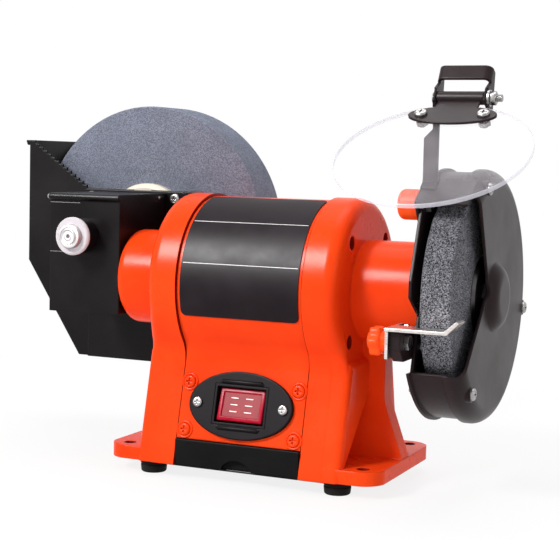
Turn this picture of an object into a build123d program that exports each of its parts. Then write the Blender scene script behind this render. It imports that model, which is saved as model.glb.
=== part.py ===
"""Bench grinder: a fast dry wheel on the right, a slow geared wet wheel in its tank on the left.

Millimetres. x = 0 is the middle of the motor, y = 0 its shaft, z = 0 the bench. The front is -Y.
"""
import os
from math import cos, pi, radians, sin, tan

from build123d import *

# Driving sizes, motor housing
shaft_height = 136.0
barrel_radius = 62.0
barrel_wall = 4.0
bell_radius = 64.0
bell_depth = 24.5
bell_round = 9.0
casting_wall = 5.0
end_wall = 9.0
seam_half = 47.5
foot_half = 60.0
flare_angle = 13.0
waist_round = 22.0
neck_radius = 35.0
neck_wall = 5.0
neck_round = 6.0
left_neck_length = 41.0
right_neck_length = 54.0
tie_bolt_circle = 48.0
tie_bolt_radius = 2.2
tie_head_radius = 4.5
tie_head_height = 3.0
tie_recess = 6.5

# Driving sizes, base
foot_height = 8.0
foot_radius = 9.8
foot_taper = 0.8
foot_spread_x = 142.0
foot_spread_y = 94.0
plate_thickness = 1.5
flange_height = 9.5
flange_length = 208.0
flange_corner = 16.0
mount_spacing_x = 180.0
mount_spacing_y = 97.0
mount_hole_radius = 4.5
rib_width = 8.0
leg_height = 70.0
gusset_width = 15.0
gusset_reach = 17.0
gusset_knee = 40.0
gusset_round = 30.0
leg_stand = 5.5
leg_round = 5.0
pocket_height = 54.0
pocket_depth = 16.0
pocket_round = 6.0

# Driving sizes, drawer and switch
drawer_height = 18.2
drawer_front = 6.0
drawer_stand = 2.6
drawer_depth = 108.0
drawer_wall = 2.0
notch_width = 24.0
notch_height = 7.0
switch_height = 54.0
switch_plate_width = 79.0
switch_plate_height = 47.5
switch_plate_thickness = 3.0
switch_window_width = 40.6
switch_window_height = 28.4
switch_depth = 22.0
switch_wall = 1.7
rocker_pivot_depth = 7.0
rocker_pin_radius = 1.5
rocker_throw = 14.0
plate_screw_spacing = 65.2
housing_screw_inset = 5.75
housing_screw_low = 34.6
housing_screw_high = 67.5
nameplate_start = -19.0
nameplate_end = 80.0
nameplate_thickness = 0.5

# Driving sizes, motor
shaft_radius = 7.5
spindle_radius = 6.35
worm_seat_radius = 4.5
stator_bore = 30.5
stator_length = 50.0
rotor_radius = 30.0
winding_height = 13.0
winding_inner = 33.0
winding_outer = 43.0
bearing_radius = 17.5
bearing_width = 11.0
bearing_cover = 3.0
capacitor_length = 50.0
capacitor_width = 26.0
capacitor_height = 18.0

# Driving sizes, dry wheel and its guard
dry_wheel_radius = 75.0
dry_wheel_width = 20.0
dry_wheel_gap = 6.4
dry_flange_radius = 28.0
dry_flange_width = 2.5
dry_nut_width = 8.0
dry_nut_flats = 19.0
sheet = 2.0
guard_radius = 84.3
guard_width = 34.0
guard_top_angle = 123.0
guard_low_angle = 213.0
cover_dome_height = 6.5
cover_dome_radius = 24.0
cover_flat_radius = 12.0
cover_edge_round = 11.0
cover_lap = 3.0
cover_pad_edge = 1.3
sight_depth = 21.0
sight_rise = 9.0
sight_height = 12.0
sight_round = 14.0
plate_inset = 2.0
plate_rise = 14.0
plate_step = 3.0
plate_notch = 10.0
plate_setback = 21.0
guard_bolt_circle = 78.2
guard_bolt_radius = 2.2
guard_bolt_angles = (110.0, 229.0, 350.0)
mount_screw_circle = 24.0

# Driving sizes, spark deflector, visor and tool rest
deflector_angle = 125.0
deflector_reach = 14.0
deflector_back = 12.0
deflector_length = 36.0
deflector_leg = 20.0
deflector_travel = 8.0
clamp_radius = 3.0
clamp_circle = 76.0
knob_radius = 10.2
knob_length = 13.0
arm_width = 10.0
arm_inset = 1.2
arm_sheet = 2.0
arm_drop = 16.0
arm_fold = 10.0
hinge_y = -46.0
hinge_rise = 132.0
hinge_radius = 2.5
hinge_overhang = 9.0
loop_width = 36.0
loop_height = 22.0
loop_web = 10.0
loop_lean = 30.0
ear_front = 5.0
ear_back = 13.0
ear_top_back = 4.0
visor_offset = 23.0
visor_radius = 61.5
visor_thickness = 3.0
visor_tilt = 30.0
visor_reach = 69.0
visor_drop = 2.7
bracket_length = 58.0
bracket_width = 22.0
bracket_sheet = 1.5
tab_width = 28.0
visor_screw_spacing = 41.0
visor_screw_radius = 2.0
rest_drop = 15.0
rest_overhang = 17.0
rest_length = 41.0
rest_depth = 14.0
rest_heel = 21.0
rest_flange_length = 32.0
rest_flange_drop = 20.0
rest_travel = 10.0
rest_lip = 8.0
rest_bracket_thickness = 7.0
rest_bracket_drop = 12.0
rest_clamp_drop = 10.5

# Driving sizes, small fasteners
m4_head_radius = 4.2
m4_head_height = 2.4
m4_recess = 1.0
m4_flats = 7.0
m4_nut_height = 3.0
m3_head_radius = 3.4
m3_head_height = 2.0
m3_recess = 0.8
m3_flats = 5.5
m3_nut_height = 2.4
thread_proud = 1.2
hinge_flats = 8.0
hinge_head_height = 3.5
hinge_washer_radius = 5.5
clamp_flats = 9.0
clamp_head_height = 3.0

# Driving sizes, gear stage
gear_module = 2.0
gear_teeth = 22
gear_face = 8.0
worm_pitch_radius = 8.0
worm_length = 34.0
thread_root = 2.2
thread_tip = 1.2
tooth_root = 2.4
tooth_tip = 1.0
wet_offset = 30.5
wet_shaft_radius = 6.0
box_width = 60.0
box_front = 29.0
box_rise = 31.0
box_drop = 28.0
tank_ear = 17.5
tank_ear_height = 18.0

# Driving sizes, wet wheel and tank
wet_wheel_radius = 100.0
wet_wheel_width = 40.0
wet_hub_radius = 38.0
wet_hub_width = 8.0
wet_nut_radius = 9.0
wet_nut_width = 5.0
wet_washer_radius = 14.0
wet_washer_width = 3.0
boss_radius = 13.0
boss_length = 14.0
tank_wall = 2.0
tank_spacing = 13.0
tank_side_gap = 4.5
tank_corner_gap = 2.5
tank_floor_gap = 2.0
tank_slant = 56.8
tank_back_gap = 3.0
tank_hub_gap = 3.0
tank_left_rise = 71.0
tank_right_rise = -1.0
tank_front_rise = 33.0
tank_front_run = 23.0
tank_steps = 14
tank_step_start = 5.5
tank_step_end = 59.0
tank_pad = 4.0
tank_pad_height = 44.0
tank_lip = 4.0
motor_relief = 2.5

# Clearances
press_gap = 0.01
running_gap = 0.05
slip_gap = 0.2
free_gap = 0.3

# Heights and places that follow
base_bottom = foot_height + plate_thickness
base_top = base_bottom + flange_height
bell_end = seam_half + bell_depth
left_neck_end = -bell_end - left_neck_length
right_neck_end = bell_end + right_neck_length
flare = tan(radians(flare_angle))
drawer_bottom = base_bottom + free_gap
drawer_top = drawer_bottom + drawer_height
panel_bottom = drawer_top + 2 * slip_gap
shelf = panel_bottom + barrel_wall
gear_radius = gear_module * gear_teeth / 2
wet_x = left_neck_end - wet_offset
wet_z = shaft_height + gear_radius + worm_pitch_radius
wet_wheel_front = bell_radius + motor_relief + tank_wall + tank_corner_gap
tank_front = wet_wheel_front - wet_hub_width - tank_hub_gap - tank_wall
box_back = tank_front - tank_spacing - sheet
box_top = wet_z + box_rise
box_bottom = shaft_height - box_drop
tank_left_top = wet_z + tank_left_rise
tank_right_top = wet_z + tank_right_rise
tank_top = wet_z + tank_front_rise
dry_wheel_left = right_neck_end + sheet + dry_wheel_gap
dry_wheel_right = dry_wheel_left + dry_wheel_width
guard_end = right_neck_end + sheet + guard_width
bearing_seat = bell_end - bearing_cover - bearing_width
hinge_z = shaft_height + hinge_rise
arm_left = right_neck_end - arm_inset
arm_top = hinge_z - arm_drop
visor_x = right_neck_end + visor_offset
rest_height = shaft_height - rest_drop
rest_front = dry_wheel_radius + rest_overhang
rest_clamp_y = -dry_wheel_radius
clamp_y = clamp_circle * cos(radians(deflector_angle))
clamp_z = shaft_height + clamp_circle * sin(radians(deflector_angle))
motor_axis = Axis((0, 0, shaft_height), (1, 0, 0))
motor_plane = Plane(origin=(0, 0, shaft_height), x_dir=(1, 0, 0), z_dir=(0, -1, 0))
wet_plane = Plane(origin=(wet_x, 0, wet_z), x_dir=(0, 1, 0), z_dir=(1, 0, 0))
wet_axis = Axis((wet_x, 0, wet_z), (0, 1, 0))


def at_x(x):
    """Plane across the motor shaft: local x is +Y, local y is +Z, the normal is +X."""
    return Plane.YZ.offset(x)


def at_y(y):
    """Plane facing the front: local x is +X, local y is +Z, the normal is -Y."""
    return Plane.XZ.offset(-y)


def half_depth(z):
    """Half depth of the flared pedestal at height z."""
    return foot_half - (z - base_top) * flare


def housing_outline(radius, bottom):
    """Round barrel standing on a flared foot, blended where they meet."""
    with Locations((0, shaft_height)):
        Circle(radius)
    low, high = half_depth(bottom), half_depth(shaft_height)
    Polygon((-low, bottom), (low, bottom), (high, shaft_height), (-high, shaft_height), align=None)
    joints = vertices().filter_by_position(Axis.Y, switch_height, shaft_height - 1)
    fillet(joints, waist_round)


def ring_sector(centre, inner, outer, start, sweep):
    """Part of a flat ring between two angles."""
    with BuildLine() as border:
        near = CenterArc(centre, inner, start, sweep)
        far = CenterArc(centre, outer, start, sweep)
        Line(near @ 0, far @ 0)
        Line(near @ 1, far @ 1)
    make_face(border.edges())


def discs(plane, points, radius, length):
    """Round posts on a plane, one at each point."""
    with BuildSketch(plane) as rounds:
        with Locations(*points):
            Circle(radius)
    extrude(rounds.sketch, amount=length)


def hexes(plane, points, flats, length):
    """Hexagonal heads or nuts on a plane, one at each point."""
    with BuildSketch(plane) as hexagons:
        with Locations(*points):
            RegularPolygon(flats / 2, 6, major_radius=False)
    extrude(hexagons.sketch, amount=length)


def bore(plane, points, radius, length):
    """Round holes from a plane along its normal."""
    with BuildSketch(plane) as holes:
        with Locations(*points):
            Circle(radius)
    extrude(holes.sketch, amount=length, mode=Mode.SUBTRACT)


def turned_x(points):
    """Solid of revolution about the motor shaft, from (x, radius) points."""
    with BuildSketch(motor_plane) as profile:
        Polygon(*points, align=None)
    revolve(profile.sketch, axis=motor_axis)


def turned_y(points):
    """Solid of revolution about the wet shaft, from (y, radius) points."""
    with BuildSketch(wet_plane) as profile:
        Polygon(*points, align=None)
    revolve(profile.sketch, axis=wet_axis)


def round_shaft(radius, angles):
    """Points (y, z) on a circle round the motor shaft, at angles from +Y towards +Z."""
    return [(radius * cos(radians(a)), shaft_height + radius * sin(radians(a))) for a in angles]


tie_points = round_shaft(tie_bolt_circle, (45, 135, 225, 315))
foot_points = [(x * foot_spread_x / 2, y * foot_spread_y / 2) for x in (-1, 1) for y in (-1, 1)]
mount_points = [(x * mount_spacing_x / 2, y * mount_spacing_y / 2) for x in (-1, 1) for y in (-1, 1)]

# The front panel leans back by the flare angle, and the switch sits on it
switch_plane = Plane(
    origin=(0, -half_depth(switch_height), switch_height),
    x_dir=(1, 0, 0),
    z_dir=(0, -cos(radians(flare_angle)), sin(radians(flare_angle))),
)
panel_rise = 1 / cos(radians(flare_angle))
housing_screw_spacing = 2 * (seam_half - housing_screw_inset)
housing_screw_points = [(x * housing_screw_spacing / 2, (z - switch_height) * panel_rise)
                        for x in (-1, 1) for z in (housing_screw_low, housing_screw_high)]
plate_screw_points = [(-plate_screw_spacing / 2, 0), (plate_screw_spacing / 2, 0)]
housing_screw_radius = 2.0
housing_head_radius = 4.4
housing_head_height = 2.2
plate_screw_radius = 1.6
plate_head_radius = 3.6
plate_head_height = 1.8
screw_bite = 9.0

# Centre body: barrel and front panel in one casting, open at both ends and below the panel
with BuildPart() as centre_body:
    with BuildSketch(at_x(-seam_half)) as body_outline:
        housing_outline(barrel_radius, panel_bottom)
    extrude(amount=2 * seam_half)
    with BuildSketch(at_x(-seam_half)):
        add(body_outline.sketch_local)
        offset(amount=-barrel_wall, mode=Mode.REPLACE)
    extrude(amount=2 * seam_half, mode=Mode.SUBTRACT)
    with BuildSketch(at_y(half_depth(panel_bottom))):
        with Locations((0, base_bottom)):
            Rectangle(2 * seam_half, shelf - base_bottom, align=(Align.CENTER, Align.MIN))
    extrude(amount=barrel_wall)
    with BuildSketch(switch_plane):
        Rectangle(switch_window_width + 2, switch_window_height + 2)
    extrude(amount=-2 * barrel_wall, mode=Mode.SUBTRACT)
    bore(switch_plane, housing_screw_points, housing_screw_radius + press_gap, -screw_bite - 1)
    bore(switch_plane, housing_screw_points, housing_head_radius + slip_gap, 2 * barrel_wall)
    bore(switch_plane, plate_screw_points, plate_screw_radius + press_gap, -2 * barrel_wall)
    grommet_radius = 7.0
    bore(at_y(half_depth(switch_height) + barrel_wall), [(0, switch_height)],
         grommet_radius + press_gap, 3 * barrel_wall)
centre_body.part.label = "centre_body"


def end_casting(side, neck_end, neck_bore):
    """One end: bell, hollow neck on a gusset, half pedestal with its pocket, and the mounting flange."""
    out = Plane(origin=(side * seam_half, 0, 0), x_dir=(0, side, 0), z_dir=(side, 0, 0))
    neck_length = abs(neck_end) - bell_end
    mirrored_ties = [(side * y, z) for y, z in tie_points]
    with BuildPart() as casting:
        with BuildSketch(out):
            housing_outline(bell_radius, base_bottom)
        extrude(amount=bell_depth)
        end_rim = casting.faces().sort_by(Axis.X)[-1 if side > 0 else 0].edges()
        upper_rim = end_rim.filter_by_position(Axis.Z, shelf + leg_height / 2, shaft_height + bell_radius)
        fillet(upper_rim, bell_round)
        leg_top = base_top + leg_height
        with BuildSketch(out.offset(bell_depth)):
            Polygon((-half_depth(base_bottom), base_bottom), (half_depth(base_bottom), base_bottom),
                    (half_depth(leg_top), leg_top), (-half_depth(leg_top), leg_top), align=None)
        extrude(amount=leg_stand)
        leg_rim = casting.faces().sort_by(Axis.X)[-1 if side > 0 else 0].edges()
        fillet(leg_rim.filter_by_position(Axis.Z, base_top, leg_top + 1), leg_round)
        with BuildSketch(Plane.XY.offset(base_bottom)):
            with Locations((side * (seam_half + flange_length / 2) / 2, 0)):
                Rectangle(flange_length / 2 - seam_half, 2 * foot_half)
            corners = vertices().sort_by(Axis.X)
            fillet(corners[-2:] if side > 0 else corners[:2], flange_corner)
        extrude(amount=flange_height)
        with BuildSketch(out.offset(bell_depth + leg_stand)):
            Polygon((-foot_half + rib_width, base_top), (foot_half - rib_width, base_top),
                    (0, base_top + pocket_height), align=None)
            fillet(vertices().sort_by(Axis.Y)[-1], pocket_round)
        extrude(amount=-leg_stand - pocket_depth, mode=Mode.SUBTRACT)
        with BuildSketch(out.offset(bell_depth)):
            with Locations((0, shaft_height)):
                Circle(neck_radius)
        extrude(amount=neck_length)
        tip = casting.edges().filter_by(GeomType.CIRCLE).sort_by(Axis.X)[-1 if side > 0 else 0]
        fillet(tip, neck_round)
        neck_low = shaft_height - neck_radius + neck_wall / 2
        with BuildSketch(Plane(origin=(0, 0, 0), x_dir=(side, 0, 0), z_dir=(0, -side, 0))):
            Polygon((bell_end - pocket_depth - 1, base_top - 1), (flange_length / 2 - 1, base_top - 1),
                    (flange_length / 2 - 1, base_top + 1), (bell_end + gusset_reach, base_top + gusset_knee),
                    (bell_end + gusset_reach, neck_low), (bell_end - 1, neck_low), align=None)
            knee = base_top + gusset_knee
            fillet(vertices().filter_by_position(Axis.Y, knee - 1, knee + 1), gusset_round)
        extrude(amount=gusset_width / 2, both=True)
        bore(out, [(0, shaft_height)], bell_radius - casting_wall, bell_depth - end_wall)
        boss_length = bell_end - end_wall - bearing_seat
        discs(out.offset(bell_depth - end_wall - boss_length), [(0, shaft_height)],
              bearing_radius + casting_wall, boss_length)
        bore(out.offset(bearing_seat - seam_half), [(0, shaft_height)],
             bearing_radius + press_gap, bearing_width)
        bore(out, [(0, shaft_height)], shaft_radius + 2, bell_depth)
        bore(out.offset(bell_depth), [(0, shaft_height)], neck_radius - neck_wall, neck_length - neck_wall)
        bore(out, [(0, shaft_height)], neck_bore, bell_depth + neck_length)
        bore(out, mirrored_ties, tie_bolt_radius + slip_gap, bell_depth)
        bore(out.offset(bell_depth), mirrored_ties, tie_head_radius + 2 * slip_gap, -tie_recess)
        bore(Plane.XY.offset(base_bottom), [p for p in mount_points if p[0] * side > 0],
             mount_hole_radius, flange_height)
        bore(Plane.XY.offset(base_bottom), [p for p in foot_points if p[0] * side > 0],
             foot_screw_radius + press_gap, foot_screw_bite)
        if side > 0:
            bore(at_x(neck_end), mount_screw_points, mount_screw_radius + press_gap, -neck_wall)
        else:
            bore(at_x(neck_end), box_screw_points, box_screw_radius + press_gap, neck_wall)
    return casting


foot_screw_radius = 2.0
foot_screw_bite = 4.5
mount_screw_radius = 2.2
mount_screw_points = round_shaft(mount_screw_circle, (90, 210, 330))
box_screw_radius = 2.0
box_screw_points = mount_screw_points
bush_radius = 11.0

left_end_casting = end_casting(-1, left_neck_end, bush_radius + press_gap)
left_end_casting.part.label = "left_end_casting"
right_end_casting = end_casting(1, right_neck_end, shaft_radius + 2)
right_end_casting.part.label = "right_end_casting"

# Base: a sheet under the castings, four feet and their screws
with BuildPart() as bottom_plate:
    with BuildSketch(Plane.XY.offset(foot_height)):
        RectangleRounded(foot_spread_x + 2 * foot_radius, foot_spread_y + 2 * foot_radius, foot_radius)
    extrude(amount=plate_thickness)
    bore(Plane.XY.offset(foot_height), foot_points, foot_screw_radius + slip_gap, plate_thickness)
bottom_plate.part.label = "bottom_plate"

foot_recess = 4.0
foot_screw_head = 4.0
with BuildPart() as rubber_feet:
    for point in foot_points:
        with BuildSketch(Plane.XY):
            with Locations(point):
                Circle(foot_radius - foot_taper)
        with BuildSketch(Plane.XY.offset(foot_height)):
            with Locations(point):
                Circle(foot_radius)
        loft()
    bore(Plane.XY, foot_points, foot_screw_radius + slip_gap, foot_height)
    bore(Plane.XY, foot_points, foot_screw_head + slip_gap, foot_recess)
rubber_feet.part.label = "rubber_feet"

with BuildPart() as foot_screws:
    discs(Plane.XY.offset(foot_recess - 2), foot_points, foot_screw_head, 2)
    discs(Plane.XY.offset(foot_recess), foot_points, foot_screw_radius,
          base_bottom - foot_recess + foot_screw_bite)
foot_screws.part.label = "foot_screws"

# Long bolts tie both bells to the barrel
with BuildPart() as tie_bolts:
    tie_flats = 2 * tie_head_radius * cos(radians(30))
    tie_seat = bell_end - tie_recess
    hexes(at_x(tie_seat), tie_points, tie_flats, tie_head_height)
    hexes(at_x(-tie_seat), tie_points, tie_flats, -tie_head_height)
    discs(at_x(-tie_seat), tie_points, tie_bolt_radius, 2 * tie_seat)
tie_bolts.part.label = "tie_bolts"


def pan_head(plane, points, radius, height, slot):
    """Domed screw heads with a crossed recess."""
    with BuildSketch(plane) as rounds:
        with Locations(*points):
            Circle(radius)
    heads = extrude(rounds.sketch, amount=height)
    fillet(heads.edges().group_by(Axis(plane.origin, plane.z_dir))[-1], height * 0.6)
    with BuildSketch(plane.offset(height)) as crosses:
        with Locations(*points):
            Rectangle(radius * 1.1, slot)
            Rectangle(slot, radius * 1.1)
    extrude(crosses.sketch, amount=-height / 2, mode=Mode.SUBTRACT)


with BuildPart() as housing_screws:
    pan_head(switch_plane, housing_screw_points, housing_head_radius, housing_head_height, 1.1)
    discs(switch_plane, housing_screw_points, housing_screw_radius, -screw_bite)
housing_screws.part.label = "housing_screws"

# Blank nameplate wrapped round the front of the barrel
with BuildPart() as nameplate:
    label_half = seam_half - 2.6
    with BuildSketch(at_x(-label_half)):
        face_radius = barrel_radius + free_gap
        ring_sector((0, shaft_height), face_radius, face_radius + nameplate_thickness,
                    180 - nameplate_end, nameplate_end - nameplate_start)
    extrude(amount=2 * label_half)
nameplate.part.label = "nameplate"

# Switch: oval plate, housing let into it, and a rocker on two pins
with BuildPart() as switch_plate:
    with BuildSketch(switch_plane):
        Ellipse(switch_plate_width / 2, switch_plate_height / 2)
    extrude(amount=switch_plate_thickness)
    fillet(switch_plate.faces().sort_by(Axis((0, 0, 0), switch_plane.z_dir))[-1].edges(), 0.8)
    ridge_rise = switch_window_height / 2 + 1.6
    with BuildSketch(switch_plane.offset(switch_plate_thickness)):
        with Locations((0, ridge_rise), (0, -ridge_rise)):
            Rectangle(switch_window_width - 8, 1.2)
    extrude(amount=0.8)
    with BuildSketch(switch_plane):
        Rectangle(switch_window_width + 2 * slip_gap, switch_window_height + 2 * slip_gap)
    extrude(amount=switch_plate_thickness, mode=Mode.SUBTRACT)
    bore(switch_plane, plate_screw_points, plate_screw_radius + slip_gap, switch_plate_thickness)
switch_plate.part.label = "switch_plate"

with BuildPart() as switch_plate_screws:
    pan_head(switch_plane.offset(switch_plate_thickness), plate_screw_points, plate_head_radius,
             plate_head_height, 0.9)
    discs(switch_plane.offset(switch_plate_thickness), plate_screw_points, plate_screw_radius, -screw_bite)
switch_plate_screws.part.label = "switch_plate_screws"

rocker_width = switch_window_width - 2 * switch_wall - 0.8
well_height = switch_window_height - 2 * switch_wall
rocker_height = well_height - 1.8
well_depth = switch_plate_thickness + 8.0
pivot_plane = switch_plane.offset(switch_plate_thickness - rocker_pivot_depth)
pin_plane = Plane(origin=pivot_plane.origin, x_dir=pivot_plane.y_dir, z_dir=(1, 0, 0))
pin_reach = rocker_width / 2 + 0.4 + switch_wall * 0.7
rocker_lean = radians(flare_angle + rocker_throw / 2)
rocker_plane = Plane(origin=pin_plane.origin, x_dir=(0, sin(rocker_lean), cos(rocker_lean)), z_dir=(1, 0, 0))
with BuildPart() as switch_housing:
    with BuildSketch(switch_plane.offset(switch_plate_thickness)):
        Rectangle(switch_window_width, switch_window_height)
    extrude(amount=-switch_depth - switch_plate_thickness)
    with BuildSketch(switch_plane.offset(switch_plate_thickness)):
        Rectangle(rocker_width + 0.8, well_height)
    extrude(amount=-well_depth, mode=Mode.SUBTRACT)
    for reach in (-pin_reach - slip_gap, pin_reach + slip_gap):
        bore(pin_plane, [(0, 0)], rocker_pin_radius + running_gap, reach)
    with BuildSketch(switch_plane.offset(-switch_depth)):
        with GridLocations(11, 9, 3, 2):
            Rectangle(0.8, 5)
    extrude(amount=-8)
switch_housing.part.label = "switch_housing"

with BuildPart() as switch_rocker:
    with BuildSketch(rocker_plane.offset(-rocker_width / 2)):
        crest = rocker_pivot_depth - 0.4
        Polygon((-rocker_height / 2, -2), (rocker_height / 2, -2), (rocker_height / 2, crest),
                (0, crest - 1.2), (-rocker_height / 2, crest), align=None)
    extrude(amount=rocker_width)
    discs(pin_plane.offset(-pin_reach), [(0, 0)], rocker_pin_radius, 2 * pin_reach)
switch_rocker.part.label = "switch_rocker"

# Coolant drawer: an open tray behind a front with a thumb notch
front_face = half_depth(panel_bottom) + drawer_stand
with BuildPart() as coolant_drawer:
    tray_back = -front_face + drawer_depth
    tray_half = seam_half - 2.5
    tray_top = drawer_top - 2.5
    drawer_half = seam_half - free_gap
    with BuildSketch(at_y(-front_face + drawer_front)):
        with Locations((0, (drawer_bottom + drawer_top) / 2)):
            Rectangle(2 * drawer_half, drawer_height)
    extrude(amount=drawer_front)
    with BuildSketch(at_y(tray_back)):
        with Locations((0, (drawer_bottom + tray_top) / 2)):
            Rectangle(2 * tray_half, tray_top - drawer_bottom)
    extrude(amount=drawer_depth - drawer_front)
    with BuildSketch(Plane.XY.offset(drawer_bottom + drawer_wall)):
        with Locations((0, tray_back - drawer_wall)):
            Rectangle(2 * (tray_half - drawer_wall), drawer_depth - drawer_front - drawer_wall,
                      align=(Align.CENTER, Align.MAX))
    extrude(amount=drawer_height, mode=Mode.SUBTRACT)
    with BuildSketch(at_y(-front_face)):
        with BuildLine():
            sill = Line((-notch_width / 2, drawer_bottom), (notch_width / 2, drawer_bottom))
            ThreePointArc(sill @ 0, (0, drawer_bottom + notch_height), sill @ 1)
        make_face()
    extrude(amount=-drawer_front + drawer_wall, mode=Mode.SUBTRACT)
coolant_drawer.part.label = "coolant_drawer"

# Cord entry at the back of the pedestal
with BuildPart() as cord_grommet:
    back_face = half_depth(switch_height) + barrel_wall
    discs(at_y(back_face), [(0, switch_height)], grommet_radius, 3 * barrel_wall)
    discs(at_y(back_face + 4), [(0, switch_height)], grommet_radius + 3, 4)
    bore(at_y(back_face + 4), [(0, switch_height)], grommet_radius - 3, 4 + 3 * barrel_wall)
cord_grommet.part.label = "cord_grommet"

# Motor: laminated stator with its windings, and the rotor on the shaft
with BuildPart() as stator_core:
    stator_radius = barrel_radius - barrel_wall - running_gap
    discs(at_x(-stator_length / 2), [(0, shaft_height)], stator_radius, stator_length)
    bore(at_x(-stator_length / 2), [(0, shaft_height)], stator_bore, stator_length)
    bore(at_x(-stator_length / 2), tie_points, tie_bolt_radius + slip_gap, stator_length)
stator_core.part.label = "stator_core"

with BuildPart() as stator_windings:
    for face in (-stator_length / 2 - winding_height, stator_length / 2):
        with BuildSketch(at_x(face)):
            with Locations((0, shaft_height)):
                Circle(winding_outer)
                Circle(winding_inner, mode=Mode.SUBTRACT)
        extrude(amount=winding_height)
    fillet(stator_windings.edges().filter_by(GeomType.CIRCLE).filter_by(
        lambda edge: abs(edge.center().X) > stator_length / 2 + 1), 3)
stator_windings.part.label = "stator_windings"

with BuildPart() as capacitor:
    with BuildSketch(Plane.XY.offset(shelf + press_gap)):
        with Locations((0, capacitor_width / 2)):
            RectangleRounded(capacitor_length, capacitor_width, 4)
    extrude(amount=capacitor_height)
    with BuildSketch(Plane.XY.offset(shelf + capacitor_height)):
        with Locations((-8, capacitor_width / 2), (8, capacitor_width / 2)):
            Rectangle(6, 1)
    extrude(amount=7)
capacitor.part.label = "capacitor"

with BuildPart() as bearings:
    for face in (-bearing_seat - bearing_width, bearing_seat):
        with BuildSketch(at_x(face)):
            with Locations((0, shaft_height)):
                Circle(bearing_radius)
                Circle(shaft_radius + running_gap, mode=Mode.SUBTRACT)
        extrude(amount=bearing_width)
bearings.part.label = "bearings"

with BuildPart() as neck_bush:
    discs(at_x(left_neck_end), [(0, shaft_height)], bush_radius, 2 * neck_wall)
    bore(at_x(left_neck_end), [(0, shaft_height)], spindle_radius + running_gap, 2 * neck_wall)
neck_bush.part.label = "neck_bush"

dry_nut_left = dry_wheel_right + dry_flange_width
spindle_end = dry_nut_left + dry_nut_width + 2
worm_left = wet_x - worm_length / 2
worm_right = wet_x + worm_length / 2
flange_seat = dry_wheel_left - dry_flange_width
with BuildPart() as motor_shaft:
    turned_x([(worm_left - 2, 0), (worm_left - 2, worm_seat_radius), (worm_right, worm_seat_radius),
              (worm_right, spindle_radius), (-bell_end, spindle_radius), (-bell_end, shaft_radius),
              (flange_seat, shaft_radius), (flange_seat, spindle_radius), (spindle_end, spindle_radius),
              (spindle_end, 0)])
    chamfer(motor_shaft.faces().sort_by(Axis.X)[-1].edges(), 1)
motor_shaft.part.label = "motor_shaft"

with BuildPart() as rotor_core:
    discs(at_x(-stator_length / 2), [(0, shaft_height)], rotor_radius, stator_length)
    for face in (-stator_length / 2 - 6, stator_length / 2):
        discs(at_x(face), [(0, shaft_height)], rotor_radius - 4, 6)
    bore(at_x(-stator_length), [(0, shaft_height)], shaft_radius + press_gap, 2 * stator_length)
rotor_core.part.label = "rotor_core"

# Worm: one thread, thin enough to leave backlash between the wheel's teeth
lead = pi * gear_module
worm_root = worm_pitch_radius - 1.2 * gear_module
worm_tip = worm_pitch_radius + 0.9 * gear_module
half_turns = int((worm_length / 2 - gear_module) / lead)
with BuildPart() as worm:
    discs(at_x(worm_left), [(0, shaft_height)], worm_root, worm_length)
    thread_start = (wet_x - half_turns * lead, 0, shaft_height)
    with BuildLine():
        coil = Helix(lead, 2 * half_turns * lead, worm_root, center=thread_start, direction=(1, 0, 0))
    with BuildSketch(Plane(origin=coil @ 0, x_dir=(0, 0, 1), z_dir=coil % 0)):
        thread_rise = worm_tip - worm_root
        Polygon((-0.4, -thread_root / 2), (-0.4, thread_root / 2), (thread_rise, thread_tip / 2),
                (thread_rise, -thread_tip / 2), align=None)
    sweep(path=coil, is_frenet=True)
    bore(at_x(worm_left), [(0, shaft_height)], worm_seat_radius + press_gap, worm_length)
worm.part.label = "worm"

# Dry wheel between two flanges and a nut
with BuildPart() as dry_inner_flange:
    discs(at_x(flange_seat), [(0, shaft_height)], dry_flange_radius, dry_flange_width)
    bore(at_x(flange_seat), [(0, shaft_height)], spindle_radius + press_gap, dry_flange_width)
dry_inner_flange.part.label = "dry_inner_flange"

with BuildPart() as dry_wheel:
    discs(at_x(dry_wheel_left), [(0, shaft_height)], dry_wheel_radius, dry_wheel_width)
    bore(at_x(dry_wheel_left), [(0, shaft_height)], spindle_radius + press_gap, dry_wheel_width)
    chamfer(dry_wheel.edges().filter_by(GeomType.CIRCLE).filter_by(
        lambda edge: edge.radius > dry_flange_radius), 0.8)
dry_wheel.part.label = "dry_wheel"

with BuildPart() as dry_outer_flange:
    discs(at_x(dry_wheel_right), [(0, shaft_height)], dry_flange_radius, dry_flange_width)
    bore(at_x(dry_wheel_right), [(0, shaft_height)], spindle_radius + press_gap, dry_flange_width)
    chamfer(dry_outer_flange.faces().sort_by(Axis.X)[-1].outer_wire().edges(), 2)
dry_outer_flange.part.label = "dry_outer_flange"

with BuildPart() as dry_nut:
    hexes(at_x(dry_nut_left), [(0, shaft_height)], dry_nut_flats, dry_nut_width)
    bore(at_x(dry_nut_left), [(0, shaft_height)], spindle_radius + press_gap, dry_nut_width)
dry_nut.part.label = "dry_nut"

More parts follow.
